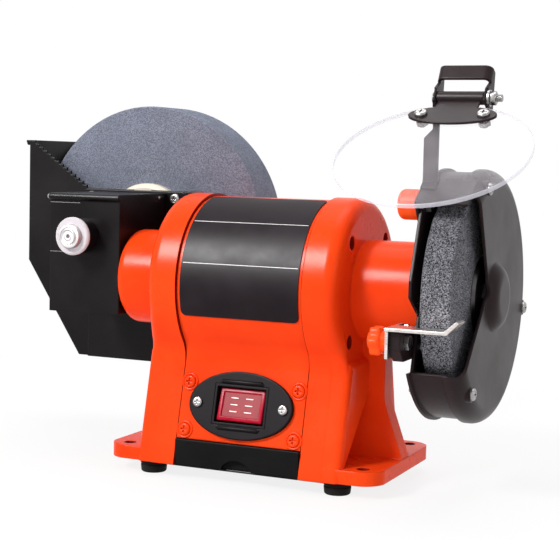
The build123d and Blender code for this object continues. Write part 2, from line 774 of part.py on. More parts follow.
# Guard: inner plate with its rim, and a domed cover, bolted together round the wheel
guard_points = round_shaft(guard_bolt_circle, guard_bolt_angles)
opening_top = shaft_height + guard_radius * sin(radians(guard_top_angle))
opening_low = shaft_height + guard_radius * sin(radians(guard_low_angle))
lip_top = guard_radius * cos(radians(guard_top_angle))
lip_low = guard_radius * cos(radians(guard_low_angle))
rim_sweep = 360 - (guard_low_angle - guard_top_angle)
beyond = -2 * guard_radius
rest_clamp_z = rest_height - rest_clamp_drop
bracket_front = -rest_front + 5
bracket_back = lip_low + 2 * rest_clamp_drop + 7
rest_bracket_points = [(bracket_back - 6, rest_clamp_z + 6), (bracket_back - 6, rest_clamp_z - 6)]
rest_screw_radius = 1.8
skirt = guard_radius + slip_gap
cover_face = guard_end + sheet
cover_bend = cover_face - cover_edge_round

with BuildPart() as guard_inner:
    with BuildSketch(at_x(right_neck_end)):
        with Locations((0, shaft_height)):
            Circle(skirt + sheet)
        plate_front = plate_inset - dry_wheel_radius
        Polygon((beyond, opening_top), (lip_top - 5, opening_top), (plate_front, shaft_height + plate_rise),
                (plate_front, shaft_height + plate_step),
                (plate_setback - dry_wheel_radius, shaft_height - plate_notch), (lip_low + 6, opening_low),
                (beyond, opening_low), align=None, mode=Mode.SUBTRACT)
    extrude(amount=sheet)
    with BuildSketch(at_x(right_neck_end + sheet)):
        ring_sector((0, shaft_height), guard_radius - sheet, guard_radius, guard_low_angle, rim_sweep)
    extrude(amount=cover_bend - right_neck_end - sheet)
    bore(at_x(right_neck_end), [(0, shaft_height)], shaft_radius + 4, sheet)
    bore(at_x(right_neck_end), mount_screw_points, mount_screw_radius + slip_gap, sheet)
    bore(at_x(right_neck_end), guard_points, guard_bolt_radius + slip_gap, sheet)
    bore(at_x(right_neck_end), [(clamp_y, clamp_z)], clamp_radius + slip_gap, sheet)
    bore(at_x(right_neck_end), rest_bracket_points, rest_screw_radius + slip_gap, sheet)
guard_inner.part.label = "guard_inner"

with BuildPart() as guard_cover:
    with BuildSketch(motor_plane):
        with BuildLine():
            edge = Polyline((cover_bend - cover_lap, skirt), (cover_bend - cover_lap, skirt + sheet),
                            (cover_bend, skirt + sheet))
            bend_low = skirt + sheet - cover_edge_round
            rim_arc = CenterArc((cover_bend, bend_low), cover_edge_round, 90, -90)
            flat = Line(rim_arc @ 1, (cover_face, cover_dome_radius))
            dome_top = cover_face + cover_dome_height
            crown = Spline(flat @ 1, (dome_top, cover_flat_radius), tangents=((1, -0.9), (0, -1)))
            top = Line(crown @ 1, (dome_top, 0))
            inner_top = Polyline(top @ 1, (dome_top - sheet, 0), (dome_top - sheet, cover_flat_radius - 1))
            under = Spline(inner_top @ 1, (guard_end, cover_dome_radius - 1), tangents=((0, 1), (-1, 0.9)))
            Line(under @ 1, (guard_end, bend_low))
            inner_arc = CenterArc((cover_bend, bend_low), cover_edge_round - sheet, 0, 90)
            Line(inner_arc @ 1, edge @ 0)
        make_face()
    revolve(axis=motor_axis)
    with BuildSketch(at_x(right_neck_end)):
        with BuildLine():
            lip = Polyline((beyond, opening_low), (lip_low + sheet, opening_low))
            sight_middle = shaft_height + sight_rise
            sight = Polyline(lip @ 1, (-sight_depth, sight_middle - sight_height / 2),
                             (-sight_depth, sight_middle + sight_height / 2), (lip_top, opening_top))
            Polyline(sight @ 1, (beyond, opening_top), lip @ 0)
        make_face()
        fillet(vertices().filter_by_position(Axis.X, -sight_depth - 1, -sight_depth + 1), sight_round)
    extrude(amount=2 * guard_width, mode=Mode.SUBTRACT)
    discs(at_x(cover_face), guard_points, m4_head_radius + cover_pad_edge, -cover_edge_round / 2)
    bore(at_x(cover_face), guard_points, guard_bolt_radius + slip_gap, -cover_edge_round)
guard_cover.part.label = "guard_cover"

with BuildPart() as guard_bolts:
    bolt_tip = right_neck_end - m4_nut_height - thread_proud
    discs(at_x(bolt_tip), guard_points, guard_bolt_radius, cover_face - bolt_tip)
    pan_head(at_x(cover_face), guard_points, m4_head_radius, m4_head_height, m4_recess)
    hexes(at_x(right_neck_end), guard_points, m4_flats, -m4_nut_height)
guard_bolts.part.label = "guard_bolts"

with BuildPart() as guard_mount_screws:
    discs(at_x(right_neck_end + sheet), mount_screw_points, mount_screw_radius, -sheet - neck_wall)
    hexes(at_x(right_neck_end + sheet), mount_screw_points, m4_flats, m4_nut_height)
guard_mount_screws.part.label = "guard_mount_screws"

# Spark deflector: a bent sheet that slides along the rim's tangent in a slot round its clamp bolt
deflector_normal = (0, cos(radians(deflector_angle)), sin(radians(deflector_angle)))
deflector_along = (0, -sin(radians(deflector_angle)), cos(radians(deflector_angle)))
deflector_sheet = 1.5
leg_face = right_neck_end - deflector_sheet - slip_gap
deflector_plane = Plane(origin=(leg_face, 0, shaft_height), x_dir=deflector_along, z_dir=(1, 0, 0))
deflector_roof = skirt + sheet + free_gap
with BuildPart() as spark_deflector:
    with BuildSketch(deflector_plane):
        with Locations(((deflector_reach - deflector_back) / 2, -deflector_roof + deflector_leg / 2)):
            Rectangle(deflector_reach + deflector_back, deflector_leg)
        with Locations((-deflector_travel / 2, -clamp_circle)):
            SlotCenterToCenter(deflector_travel, 2 * (clamp_radius + slip_gap), mode=Mode.SUBTRACT)
    extrude(amount=deflector_sheet)
    with BuildSketch(deflector_plane):
        with Locations(((deflector_reach - deflector_back) / 2, -deflector_roof - deflector_sheet / 2)):
            Rectangle(deflector_reach + deflector_back, deflector_sheet)
    extrude(amount=deflector_length)
spark_deflector.part.label = "spark_deflector"

with BuildPart() as deflector_bolt:
    hexes(at_x(right_neck_end + sheet), [(clamp_y, clamp_z)], clamp_flats, clamp_head_height)
    discs(at_x(right_neck_end + sheet), [(clamp_y, clamp_z)], clamp_radius,
          -sheet - deflector_sheet - knob_length)
deflector_bolt.part.label = "deflector_bolt"

knob_seat = leg_face - free_gap
with BuildPart() as deflector_knob:
    discs(at_x(knob_seat), [(clamp_y, clamp_z)], knob_radius, -knob_length - 2)
    fillet(deflector_knob.faces().sort_by(Axis.X)[0].edges(), 4)
    bore(at_x(knob_seat), [(clamp_y, clamp_z)], clamp_radius + running_gap, -knob_length)
deflector_knob.part.label = "deflector_knob"

# Visor: a strip rises from the deflector to a channel-shaped clevis, where a clear disc tilts on a bolt
lean_sin, lean_cos = sin(radians(loop_lean)), cos(radians(loop_lean))
lean_up = (0, lean_sin, lean_cos)
loop_left = visor_x - loop_width / 2
loop_right = visor_x + loop_width / 2
arm_front = hinge_y - arm_sheet / 2
arm_foot = deflector_roof + deflector_sheet + press_gap
arm_base = shaft_height + (arm_foot + arm_sheet + arm_front * -deflector_normal[1]) / deflector_normal[2]


def ear_plane(x):
    """Plane across the hinge: local x runs up the leaning clevis, local y to its front."""
    return Plane(origin=(x, hinge_y, hinge_z), x_dir=lean_up, z_dir=(1, 0, 0))


with BuildPart() as visor_arm:
    with BuildSketch(at_y(hinge_y + arm_sheet / 2)):
        Polygon((arm_left, arm_base), (arm_left + arm_width, arm_base), (arm_left + arm_width, arm_top),
                (arm_left, arm_top - arm_fold), align=None)
    extrude(amount=arm_sheet)
    with BuildSketch(deflector_plane.offset(arm_left - leg_face)):
        with Locations((-deflector_back, -arm_foot)):
            Rectangle(deflector_back, arm_sheet, align=(Align.MIN, Align.MAX))
    extrude(amount=arm_width)
    for x in (loop_left, loop_right - arm_sheet):
        with BuildSketch(ear_plane(x)):
            Polygon((-ear_front, ear_front), (loop_height, ear_front), (loop_height, -ear_top_back),
                    (0, -ear_back), (-ear_front, -ear_back), align=None)
        extrude(amount=arm_sheet)
    with BuildSketch(at_x(loop_left)):
        Polygon((arm_front, arm_top - arm_fold), (arm_front + arm_sheet, arm_top - arm_fold),
                (hinge_y + ear_back, hinge_z), (hinge_y - ear_front, hinge_z), align=None)
    extrude(amount=arm_sheet)
    with BuildSketch(ear_plane(loop_left)):
        Polygon((loop_height - loop_web, ear_front), (loop_height, ear_front),
                (loop_height, ear_front - arm_sheet), (loop_height - loop_web, ear_front - arm_sheet),
                align=None)
    extrude(amount=loop_width)
    folds = visor_arm.edges().filter_by(
        lambda edge: abs(abs(edge.center().X - visor_x) - loop_width / 2) < press_gap
        and abs(edge.length - loop_height - ear_front) < press_gap
        and edge.center().Y < hinge_y)
    fillet(folds, 1.6)
    bore(at_x(loop_left - 1), [(hinge_y, hinge_z)], hinge_radius + press_gap, loop_width + 2)
visor_arm.part.label = "visor_arm"

hinge_nut = 4.0
hinge_washer = 1.4
with BuildPart() as visor_hinge_bolt:
    hexes(at_x(loop_left), [(hinge_y, hinge_z)], hinge_flats, -hinge_head_height)
    discs(at_x(loop_left), [(hinge_y, hinge_z)], hinge_radius, loop_width + hinge_overhang)
    discs(at_x(loop_right), [(hinge_y, hinge_z)], hinge_washer_radius, hinge_washer)
    hexes(at_x(loop_right + hinge_washer), [(hinge_y, hinge_z)], hinge_flats, hinge_nut)
visor_hinge_bolt.part.label = "visor_hinge_bolt"

tilt_sin, tilt_cos = sin(radians(visor_tilt)), cos(radians(visor_tilt))
lens_plane = Plane(
    origin=(visor_x, hinge_y - visor_reach * tilt_cos + visor_drop * tilt_sin,
            hinge_z - visor_reach * tilt_sin - visor_drop * tilt_cos),
    x_dir=(1, 0, 0),
    z_dir=(0, -tilt_sin, tilt_cos),
)
bracket_centre = visor_radius - 4.5 - bracket_width / 2
screw_row = [(-visor_screw_spacing / 2, bracket_centre), (visor_screw_spacing / 2, bracket_centre)]
bracket_base = visor_thickness / 2 + press_gap

with BuildPart() as visor_lens:
    with BuildSketch(lens_plane.offset(-visor_thickness / 2)):
        Circle(visor_radius)
    extrude(amount=visor_thickness)
    bore(lens_plane.offset(-visor_thickness / 2), screw_row, visor_screw_radius + slip_gap, visor_thickness)
visor_lens.part.label = "visor_lens"

with BuildPart() as visor_bracket:
    roll_radius = hinge_radius + running_gap + bracket_sheet
    with BuildSketch(lens_plane.offset(bracket_base)):
        with Locations((0, bracket_centre)):
            Ellipse(bracket_length / 2, bracket_width / 2)
        with Locations((0, bracket_centre)):
            Rectangle(tab_width, visor_reach - bracket_centre, align=(Align.CENTER, Align.MIN))
    extrude(amount=bracket_sheet)
    discs(at_x(visor_x - tab_width / 2), [(hinge_y, hinge_z)], roll_radius, tab_width)
    bore(at_x(visor_x - tab_width / 2), [(hinge_y, hinge_z)], hinge_radius + running_gap, tab_width)
    bore(lens_plane.offset(bracket_base), screw_row, visor_screw_radius + slip_gap, bracket_sheet)
visor_bracket.part.label = "visor_bracket"

with BuildPart() as visor_screws:
    pan_head(lens_plane.offset(bracket_base + bracket_sheet), screw_row, m4_head_radius, m4_head_height,
             m4_recess)
    discs(lens_plane.offset(bracket_base + bracket_sheet), screw_row, visor_screw_radius,
          -bracket_base - bracket_sheet - visor_thickness / 2 - m4_nut_height - thread_proud)
    hexes(lens_plane.offset(-visor_thickness / 2), screw_row, m4_flats, -m4_nut_height)
visor_screws.part.label = "visor_screws"

# Tool rest: a bent plate clamped to a bracket on the guard, sliding to follow the wheel's wear
bracket_low = rest_clamp_z - rest_bracket_drop
bracket_high = rest_height - sheet - m3_nut_height / 2
with BuildPart() as rest_bracket:
    with BuildSketch(at_x(right_neck_end - rest_bracket_thickness)):
        Polygon((bracket_back, bracket_low), (bracket_back, bracket_high), (bracket_front, bracket_high),
                (bracket_front, rest_clamp_z - 4), (bracket_front + 8, bracket_low), align=None)
    extrude(amount=rest_bracket_thickness - press_gap)
    bore(at_x(right_neck_end - rest_bracket_thickness), rest_bracket_points, rest_screw_radius + slip_gap,
         rest_bracket_thickness)
    bore(at_x(right_neck_end - rest_bracket_thickness), [(rest_clamp_y, rest_clamp_z)],
         clamp_radius + slip_gap, rest_bracket_thickness)
rest_bracket.part.label = "rest_bracket"

with BuildPart() as rest_bracket_screws:
    pan_head(at_x(right_neck_end + sheet), rest_bracket_points, m3_head_radius, m3_head_height, m3_recess)
    discs(at_x(right_neck_end + sheet), rest_bracket_points, rest_screw_radius,
          -sheet - rest_bracket_thickness - m3_nut_height - thread_proud)
    hexes(at_x(right_neck_end - rest_bracket_thickness), rest_bracket_points, m3_flats, -m3_nut_height)
rest_bracket_screws.part.label = "rest_bracket_screws"

rest_side = right_neck_end - rest_bracket_thickness - slip_gap
rest_left = rest_side - sheet
rest_right = rest_left + rest_length
heel_right = dry_wheel_left - 4
with BuildPart() as tool_rest:
    with BuildSketch(Plane.XY.offset(rest_height - sheet)):
        with Locations((rest_left, -rest_front)):
            Rectangle(rest_length, rest_depth, align=(Align.MIN, Align.MIN))
            Rectangle(heel_right - rest_left, rest_heel, align=(Align.MIN, Align.MIN))
    extrude(amount=sheet)
    with BuildSketch(at_x(rest_left)):
        with Locations((-rest_front + sheet, rest_height)):
            Rectangle(rest_flange_length, rest_flange_drop, align=(Align.MIN, Align.MAX))
        with Locations((rest_clamp_y + rest_travel / 2, rest_clamp_z)):
            SlotCenterToCenter(rest_travel, 2 * (clamp_radius + slip_gap), mode=Mode.SUBTRACT)
    extrude(amount=sheet)
    with BuildSketch(at_y(-rest_front + rest_depth)):
        Polygon((rest_right - sheet, rest_height - sheet), (rest_right, rest_height - sheet),
                (rest_right + rest_lip, rest_height - sheet + rest_lip),
                (rest_right + rest_lip - sheet, rest_height + rest_lip - sheet / 2),
                (rest_right - sheet, rest_height), align=None)
    extrude(amount=rest_depth)
tool_rest.part.label = "tool_rest"

with BuildPart() as rest_bolt:
    hexes(at_x(right_neck_end), [(rest_clamp_y, rest_clamp_z)], clamp_flats, clamp_head_height)
    discs(at_x(right_neck_end), [(rest_clamp_y, rest_clamp_z)], clamp_radius,
          -rest_bracket_thickness - sheet - knob_length)
rest_bolt.part.label = "rest_bolt"

rest_knob_seat = rest_left - free_gap
knob_lobes = 6
with BuildPart() as rest_knob:
    with BuildSketch(at_x(rest_knob_seat)):
        with Locations((rest_clamp_y, rest_clamp_z)):
            Circle(knob_radius - 1.4)
            with PolarLocations(knob_radius - 2.6, knob_lobes):
                Circle(3.2)
    extrude(amount=-knob_length)
    discs(at_x(rest_knob_seat), [(rest_clamp_y, rest_clamp_z)], knob_radius - 3.4, -knob_length - 2)
    bore(at_x(rest_knob_seat), [(rest_clamp_y, rest_clamp_z)], clamp_radius + running_gap, -knob_length)
rest_knob.part.label = "rest_knob"

# Gear box: a sheet box on the left neck, open at the back, with a plate that closes it and carries the tank
box_right = left_neck_end
box_left = box_right - box_width
box_middle = (box_left + box_right) / 2
bar_radius = 2.6
bush_wall = 4.0
bush_hole = wet_shaft_radius + bush_wall
sleeve_radius = boss_radius - 4
with BuildPart() as gear_box:
    with BuildSketch(at_y(box_back)):
        with Locations((box_middle, box_bottom)):
            Rectangle(box_width, box_top - box_bottom, align=(Align.CENTER, Align.MIN))
    extrude(amount=box_back + box_front)
    with BuildSketch(at_y(box_back)):
        with Locations((box_middle, box_bottom + sheet)):
            Rectangle(box_width - 2 * sheet, box_top - box_bottom - 2 * sheet,
                      align=(Align.CENTER, Align.MIN))
    extrude(amount=box_back + box_front - sheet, mode=Mode.SUBTRACT)
    discs(at_x(box_left), [(-box_front, box_top - bar_radius)], bar_radius, box_width)
    bore(at_y(-box_front - bar_radius), [(wet_x, wet_z)], sleeve_radius + press_gap, -sheet - bar_radius)
    bore(at_x(box_right), [(0, shaft_height)], spindle_radius + 2, -sheet)
    bore(at_x(box_right), box_screw_points, box_screw_radius + slip_gap, -sheet)
gear_box.part.label = "gear_box"

with BuildPart() as gear_box_screws:
    hexes(at_x(box_right - sheet), box_screw_points, m4_flats, -m4_nut_height)
    discs(at_x(box_right - sheet), box_screw_points, box_screw_radius, sheet + neck_wall)
gear_box_screws.part.label = "gear_box_screws"

ear_offset = tank_ear - 10
tank_screw_z = box_top - 4
tank_screw_points = [(box_left - ear_offset, tank_screw_z), (box_right + ear_offset, tank_screw_z)]
tank_screw_radius = 2.0
with BuildPart() as gear_box_back:
    with BuildSketch(at_y(box_back + sheet)):
        with Locations((box_middle, box_bottom)):
            Rectangle(box_width, box_top - box_bottom, align=(Align.CENTER, Align.MIN))
        with Locations((box_middle, box_top + sheet)):
            Rectangle(box_width + 2 * tank_ear, tank_ear_height, align=(Align.CENTER, Align.MAX))
        fillet(vertices().filter_by_position(Axis.Y, box_top, box_top + 2 * sheet), 5)
    extrude(amount=sheet - press_gap)
    bore(at_y(box_back + sheet), [(wet_x, wet_z)], bush_hole + press_gap, sheet)
    bore(at_y(box_back + sheet), tank_screw_points, tank_screw_radius + slip_gap, sheet)
gear_box_back.part.label = "gear_box_back"

boss_front = -box_front - boss_length
with BuildPart() as front_bush:
    bush_bore = wet_shaft_radius + running_gap
    turned_y([(boss_front, bush_bore), (boss_front, boss_radius - 2), (boss_front + 2, boss_radius),
              (-box_front - press_gap, boss_radius), (-box_front - press_gap, sleeve_radius),
              (-gear_face * 1.75, sleeve_radius), (-gear_face * 1.75, bush_bore)])
front_bush.part.label = "front_bush"

back_flange = box_back + sheet + 5
with BuildPart() as back_bush:
    turned_y([(box_back - 12, bush_bore), (box_back - 12, bush_hole), (box_back + sheet, bush_hole),
              (box_back + sheet, boss_radius), (back_flange, boss_radius), (back_flange, bush_bore)])
back_bush.part.label = "back_bush"

# Worm wheel: thin teeth round a hub, a gap between teeth facing straight down to the worm
root_radius = gear_radius - 1.25 * gear_module
tip_radius = gear_radius + 0.7 * gear_module
tooth_pitch = 360 / gear_teeth
hub_half = gear_face * 1.5
with BuildPart() as worm_wheel:
    with BuildSketch(at_y(gear_face / 2)):
        with Locations((wet_x, wet_z)):
            Circle(root_radius)
        for tooth in range(gear_teeth):
            turn = -90 + (tooth + 0.5) * tooth_pitch
            with Locations(Location((wet_x, wet_z, 0), (0, 0, turn))):
                Polygon((root_radius - 1, -tooth_root / 2), (tip_radius, -tooth_tip / 2),
                        (tip_radius, tooth_tip / 2), (root_radius - 1, tooth_root / 2), align=None)
    extrude(amount=gear_face)
    discs(at_y(hub_half), [(wet_x, wet_z)], gear_radius / 2, 2 * hub_half)
    bore(at_y(hub_half), [(wet_x, wet_z)], wet_shaft_radius + press_gap, 2 * hub_half)
worm_wheel.part.label = "worm_wheel"

# Wet shaft, with a washer and round nut in front and the big wheel between two hubs behind
washer_face = boss_front - free_gap
nut_face = washer_face - wet_washer_width
wheel_back = wet_wheel_front + wet_wheel_width
hub_back = wheel_back + wet_hub_width
back_nut_width = 8.0
wet_shaft_back = hub_back + back_nut_width + 1
hub_bore = wet_shaft_radius + press_gap
with BuildPart() as wet_shaft:
    turned_y([(nut_face - wet_nut_width + 1, 0), (nut_face - wet_nut_width + 1, wet_shaft_radius),
              (wet_shaft_back, wet_shaft_radius), (wet_shaft_back, 0)])
wet_shaft.part.label = "wet_shaft"

with BuildPart() as wet_washer:
    turned_y([(nut_face, hub_bore), (nut_face, wet_washer_radius - 1), (nut_face + 1, wet_washer_radius),
              (washer_face, wet_washer_radius), (washer_face, hub_bore)])
wet_washer.part.label = "wet_washer"

with BuildPart() as wet_nut:
    turned_y([(nut_face - wet_nut_width, hub_bore), (nut_face - wet_nut_width, wet_nut_radius - 1.5),
              (nut_face - wet_nut_width + 1.5, wet_nut_radius), (nut_face, wet_nut_radius),
              (nut_face, hub_bore)])
wet_nut.part.label = "wet_nut"

with BuildPart() as wet_wheel:
    turned_y([(wet_wheel_front, hub_bore), (wet_wheel_front, wet_wheel_radius - 1),
              (wet_wheel_front + 1, wet_wheel_radius), (wheel_back - 1, wet_wheel_radius),
              (wheel_back, wet_wheel_radius - 1), (wheel_back, hub_bore)])
wet_wheel.part.label = "wet_wheel"


def wet_hub(face, out):
    """Hub cheek beside the wet wheel, its free edge rounded; out is +1 towards the back."""
    with BuildPart() as hub:
        far = face + out * wet_hub_width
        turned_y([(face, hub_bore), (face, wet_hub_radius), (far - out * 3, wet_hub_radius),
                  (far, wet_hub_radius - 3), (far, hub_bore)])
    return hub


wet_front_hub = wet_hub(wet_wheel_front, -1)
wet_front_hub.part.label = "wet_front_hub"
wet_back_hub = wet_hub(wheel_back, 1)
wet_back_hub.part.label = "wet_back_hub"

with BuildPart() as wet_back_nut:
    hexes(at_y(hub_back + back_nut_width), [(wet_x, wet_z)], dry_nut_flats, back_nut_width)
    bore(at_y(hub_back + back_nut_width), [(wet_x, wet_z)], hub_bore, back_nut_width)
wet_back_nut.part.label = "wet_back_nut"

# Water tank: follows the wheel round the bottom, with a stepped left edge and a relief for the motor
tank_back = wet_shaft_back + tank_back_gap + tank_wall
tank_left = wet_x - wet_wheel_radius - tank_side_gap - tank_wall
tank_right = wet_x + wet_wheel_radius + tank_side_gap + tank_wall
tank_floor = wet_z - wet_wheel_radius - tank_floor_gap - tank_wall
slant_sin, slant_cos = sin(radians(tank_slant)), cos(radians(tank_slant))
slant_reach = wet_wheel_radius + tank_corner_gap + tank_wall
slant_foot = (slant_reach - (wet_z - tank_floor) * slant_cos) / slant_sin
slant_top = wet_z - (slant_reach - (wet_x - tank_left) * slant_sin) / slant_cos
step_run = (tank_step_end - tank_step_start) / tank_steps
step_rise = (tank_left_top - tank_top) / tank_steps
steps = []
for step in range(tank_steps):
    steps.append((tank_left + tank_step_start + step * step_run, tank_left_top - step * step_rise))
    steps.append((tank_left + tank_step_start + step * step_run, tank_left_top - (step + 1) * step_rise))
steps.append((tank_left + tank_step_end, tank_top))
tank_lower = [(tank_right, tank_right_top), (tank_right, slant_top), (wet_x + slant_foot, tank_floor),
              (wet_x - slant_foot, tank_floor), (tank_left, slant_top)]
relief_x = -bell_end - 6
relief_y = bell_radius + motor_relief
pad_half = (box_width + 2 * tank_ear) / 2 + 7
with BuildPart() as water_tank:
    with BuildSketch(at_y(tank_back)):
        Polygon(*steps, (box_right + tank_front_run, tank_top), *tank_lower, (tank_left, tank_left_top),
                align=None)
    extrude(amount=tank_back - tank_front)
    with BuildSketch(at_y(tank_front)):
        with Locations((box_middle + 8, tank_floor)):
            Rectangle(2 * pad_half, tank_pad_height, align=(Align.CENTER, Align.MIN))
    extrude(amount=tank_pad)
    with BuildSketch(at_y(tank_front + 1)):
        with Locations((tank_left, tank_left_top)):
            Rectangle(tank_lip, sheet, align=(Align.MAX, Align.MAX))
    extrude(amount=-(tank_back - tank_front - 1))
    with BuildSketch(at_y(relief_y)):
        with Locations((relief_x, tank_floor - 1)):
            Rectangle(tank_right - relief_x + 1, 2 * wet_wheel_radius, align=(Align.MIN, Align.MIN))
    extrude(amount=relief_y, mode=Mode.SUBTRACT)
    tank_top_cut = tank_left_top + 1
    inner = [(tank_right - tank_wall, tank_top_cut),
             (tank_right - tank_wall, slant_top + tank_wall * (1 - slant_sin) / slant_cos),
             (wet_x + slant_foot - tank_wall * (1 - slant_cos) / slant_sin, tank_floor + tank_wall),
             (wet_x - slant_foot + tank_wall * (1 - slant_cos) / slant_sin, tank_floor + tank_wall),
             (tank_left + tank_wall, slant_top + tank_wall * (1 - slant_sin) / slant_cos),
             (tank_left + tank_wall, tank_top_cut)]
    with BuildSketch(at_y(tank_back - tank_wall)):
        Polygon(*inner, align=None)
    extrude(amount=tank_back - relief_y - 2 * tank_wall, mode=Mode.SUBTRACT)
    with BuildSketch(at_y(relief_y + 2 * tank_wall)):
        Polygon(*inner, align=None)
        with Locations((relief_x - tank_wall, tank_floor)):
            Rectangle(tank_right - relief_x, 3 * wet_wheel_radius, align=(Align.MIN, Align.MIN),
                      mode=Mode.SUBTRACT)
    extrude(amount=relief_y + tank_wall - tank_front, mode=Mode.SUBTRACT)
    slot_half = wet_shaft_radius + 2
    with BuildSketch(at_y(tank_front + 2 * tank_wall)):
        with Locations((wet_x, wet_z)):
            Circle(slot_half)
            Rectangle(2 * slot_half, wet_wheel_radius, align=(Align.CENTER, Align.MIN))
    extrude(amount=4 * tank_wall, mode=Mode.SUBTRACT)
    bore(at_y(tank_front + 2 * tank_wall), tank_screw_points, tank_screw_radius + slip_gap, 4 * tank_wall)
water_tank.part.label = "water_tank"

spacer_radius = 5.0
spacer_length = tank_front - box_back - sheet - 2 * press_gap
with BuildPart() as tank_spacers:
    discs(at_y(tank_front - press_gap), tank_screw_points, spacer_radius, spacer_length)
    bore(at_y(tank_front - press_gap), tank_screw_points, tank_screw_radius + slip_gap, spacer_length)
tank_spacers.part.label = "tank_spacers"

with BuildPart() as tank_screws:
    pan_head(at_y(box_back), tank_screw_points, m4_head_radius, m4_head_height, m4_recess)
    discs(at_y(box_back), tank_screw_points, tank_screw_radius,
          box_back - tank_front - tank_wall - m3_nut_height - thread_proud)
    hexes(at_y(tank_front + tank_wall), tank_screw_points, m3_flats, -m3_nut_height)
tank_screws.part.label = "tank_screws"

os.makedirs("parts", exist_ok=True)
for piece in (centre_body, left_end_casting, right_end_casting, bottom_plate, rubber_feet, foot_screws,
              tie_bolts, housing_screws, nameplate, switch_plate, switch_plate_screws, switch_housing,
              switch_rocker, coolant_drawer, cord_grommet, stator_core, stator_windings, capacitor,
              bearings, neck_bush, motor_shaft, rotor_core, worm, dry_inner_flange,
              dry_wheel, dry_outer_flange, dry_nut, guard_inner, guard_cover, guard_bolts,
              guard_mount_screws, spark_deflector, deflector_bolt, deflector_knob, visor_arm,
              visor_hinge_bolt, visor_lens, visor_bracket, visor_screws, rest_bracket,
              rest_bracket_screws, tool_rest, rest_bolt, rest_knob, gear_box, gear_box_screws,
              gear_box_back, front_bush, back_bush, worm_wheel, wet_shaft, wet_washer, wet_nut, wet_wheel,
              wet_front_hub, wet_back_hub, wet_back_nut, water_tank, tank_spacers, tank_screws):
    export_step(piece.part, f"parts/{piece.part.label}.step")
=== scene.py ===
from math import cos, pi, radians, sin, sqrt, tan

import bmesh
import bpy
from mathutils import Matrix, Vector


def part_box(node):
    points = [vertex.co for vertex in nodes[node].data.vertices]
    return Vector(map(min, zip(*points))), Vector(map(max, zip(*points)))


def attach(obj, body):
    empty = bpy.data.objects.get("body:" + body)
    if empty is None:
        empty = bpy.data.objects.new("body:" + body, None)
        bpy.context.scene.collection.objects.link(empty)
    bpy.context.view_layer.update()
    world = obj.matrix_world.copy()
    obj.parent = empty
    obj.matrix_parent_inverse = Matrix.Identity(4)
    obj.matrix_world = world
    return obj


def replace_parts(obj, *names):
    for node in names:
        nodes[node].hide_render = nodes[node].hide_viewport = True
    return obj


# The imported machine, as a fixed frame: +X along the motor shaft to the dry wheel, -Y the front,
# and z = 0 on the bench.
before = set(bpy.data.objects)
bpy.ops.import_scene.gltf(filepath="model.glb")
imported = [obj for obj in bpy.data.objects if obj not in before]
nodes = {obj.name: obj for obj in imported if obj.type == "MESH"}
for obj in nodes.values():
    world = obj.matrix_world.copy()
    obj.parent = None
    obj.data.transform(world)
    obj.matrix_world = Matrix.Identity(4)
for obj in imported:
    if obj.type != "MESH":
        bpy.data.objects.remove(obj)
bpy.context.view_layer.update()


# Housing: a barrel and front panel in one casting, between two cast bells with hollow necks and open legs.
# Long tie bolts hold them together. Orange enamel is sprayed over all three and leaves a faint orange peel.
def tone(red, green, blue):
    """Linear colour from a screen colour, each channel 0 to 255."""
    return tuple((c / 255 / 12.92 if c < 11 else ((c / 255 + 0.055) / 1.055) ** 2.4)
                 for c in (red, green, blue)) + (1.0,)


def add(tree, kind, values=None, **settings):
    """A new node in a tree, with its settings and the values of its sockets."""
    made = tree.nodes.new(kind)
    for key, value in settings.items():
        setattr(made, key, value)
    for socket, value in (values or {}).items():
        made.inputs[socket].default_value = value
    return made


def join(tree, *wires):
    """Wires nodes together, each row giving a node, its output, the next node and that one's input."""
    for giver, outlet, taker, inlet in wires:
        tree.links.new(giver.outputs[outlet], taker.inputs[inlet])


def effect(name, inputs, outputs):
    """An empty shader group with named sockets, and its two end nodes."""
    tree = bpy.data.node_groups.new(name, "ShaderNodeTree")
    for label, kind in inputs.items():
        tree.interface.new_socket(label, in_out="INPUT", socket_type=kind)
    for label, kind in outputs.items():
        tree.interface.new_socket(label, in_out="OUTPUT", socket_type=kind)
    return tree, add(tree, "NodeGroupInput"), add(tree, "NodeGroupOutput")


def place(tree, group, **values):
    """A group in a material, with this material's own values."""
    return add(tree, "ShaderNodeGroup", values, node_tree=group)


# Slow drift between two shades, as sprayed and moulded surfaces show
drift, drift_in, drift_out = effect(
    "shade_drift", {"Dark": "NodeSocketColor", "Light": "NodeSocketColor", "Scale": "NodeSocketFloat"},
    {"Color": "NodeSocketColor", "Mask": "NodeSocketFloat"})
drift_at = add(drift, "ShaderNodeTexCoord")
drift_noise = add(drift, "ShaderNodeTexNoise", {"Detail": 5, "Roughness": 0.6})
drift_span = add(drift, "ShaderNodeMapRange", {"From Min": 0.35, "From Max": 0.65})
drift_mix = add(drift, "ShaderNodeMix", data_type="RGBA")
join(drift,
     (drift_at, "Object", drift_noise, "Vector"),
     (drift_in, "Scale", drift_noise, "Scale"),
     (drift_noise, "Fac", drift_span, "Value"),
     (drift_span, "Result", drift_mix, "Factor"),
     (drift_in, "Dark", drift_mix, "A"),
     (drift_in, "Light", drift_mix, "B"),
     (drift_mix, "Result", drift_out, "Color"),
     (drift_span, "Result", drift_out, "Mask"))

# Fine relief of a sprayed, cast or moulded skin
skin, skin_in, skin_out = effect("fine_skin", {"Scale": "NodeSocketFloat"}, {"Height": "NodeSocketFloat"})
skin_at = add(skin, "ShaderNodeTexCoord")
skin_noise = add(skin, "ShaderNodeTexNoise", {"Detail": 3})
join(skin,
     (skin_at, "Object", skin_noise, "Vector"),
     (skin_in, "Scale", skin_noise, "Scale"),
     (skin_noise, "Fac", skin_out, "Height"))

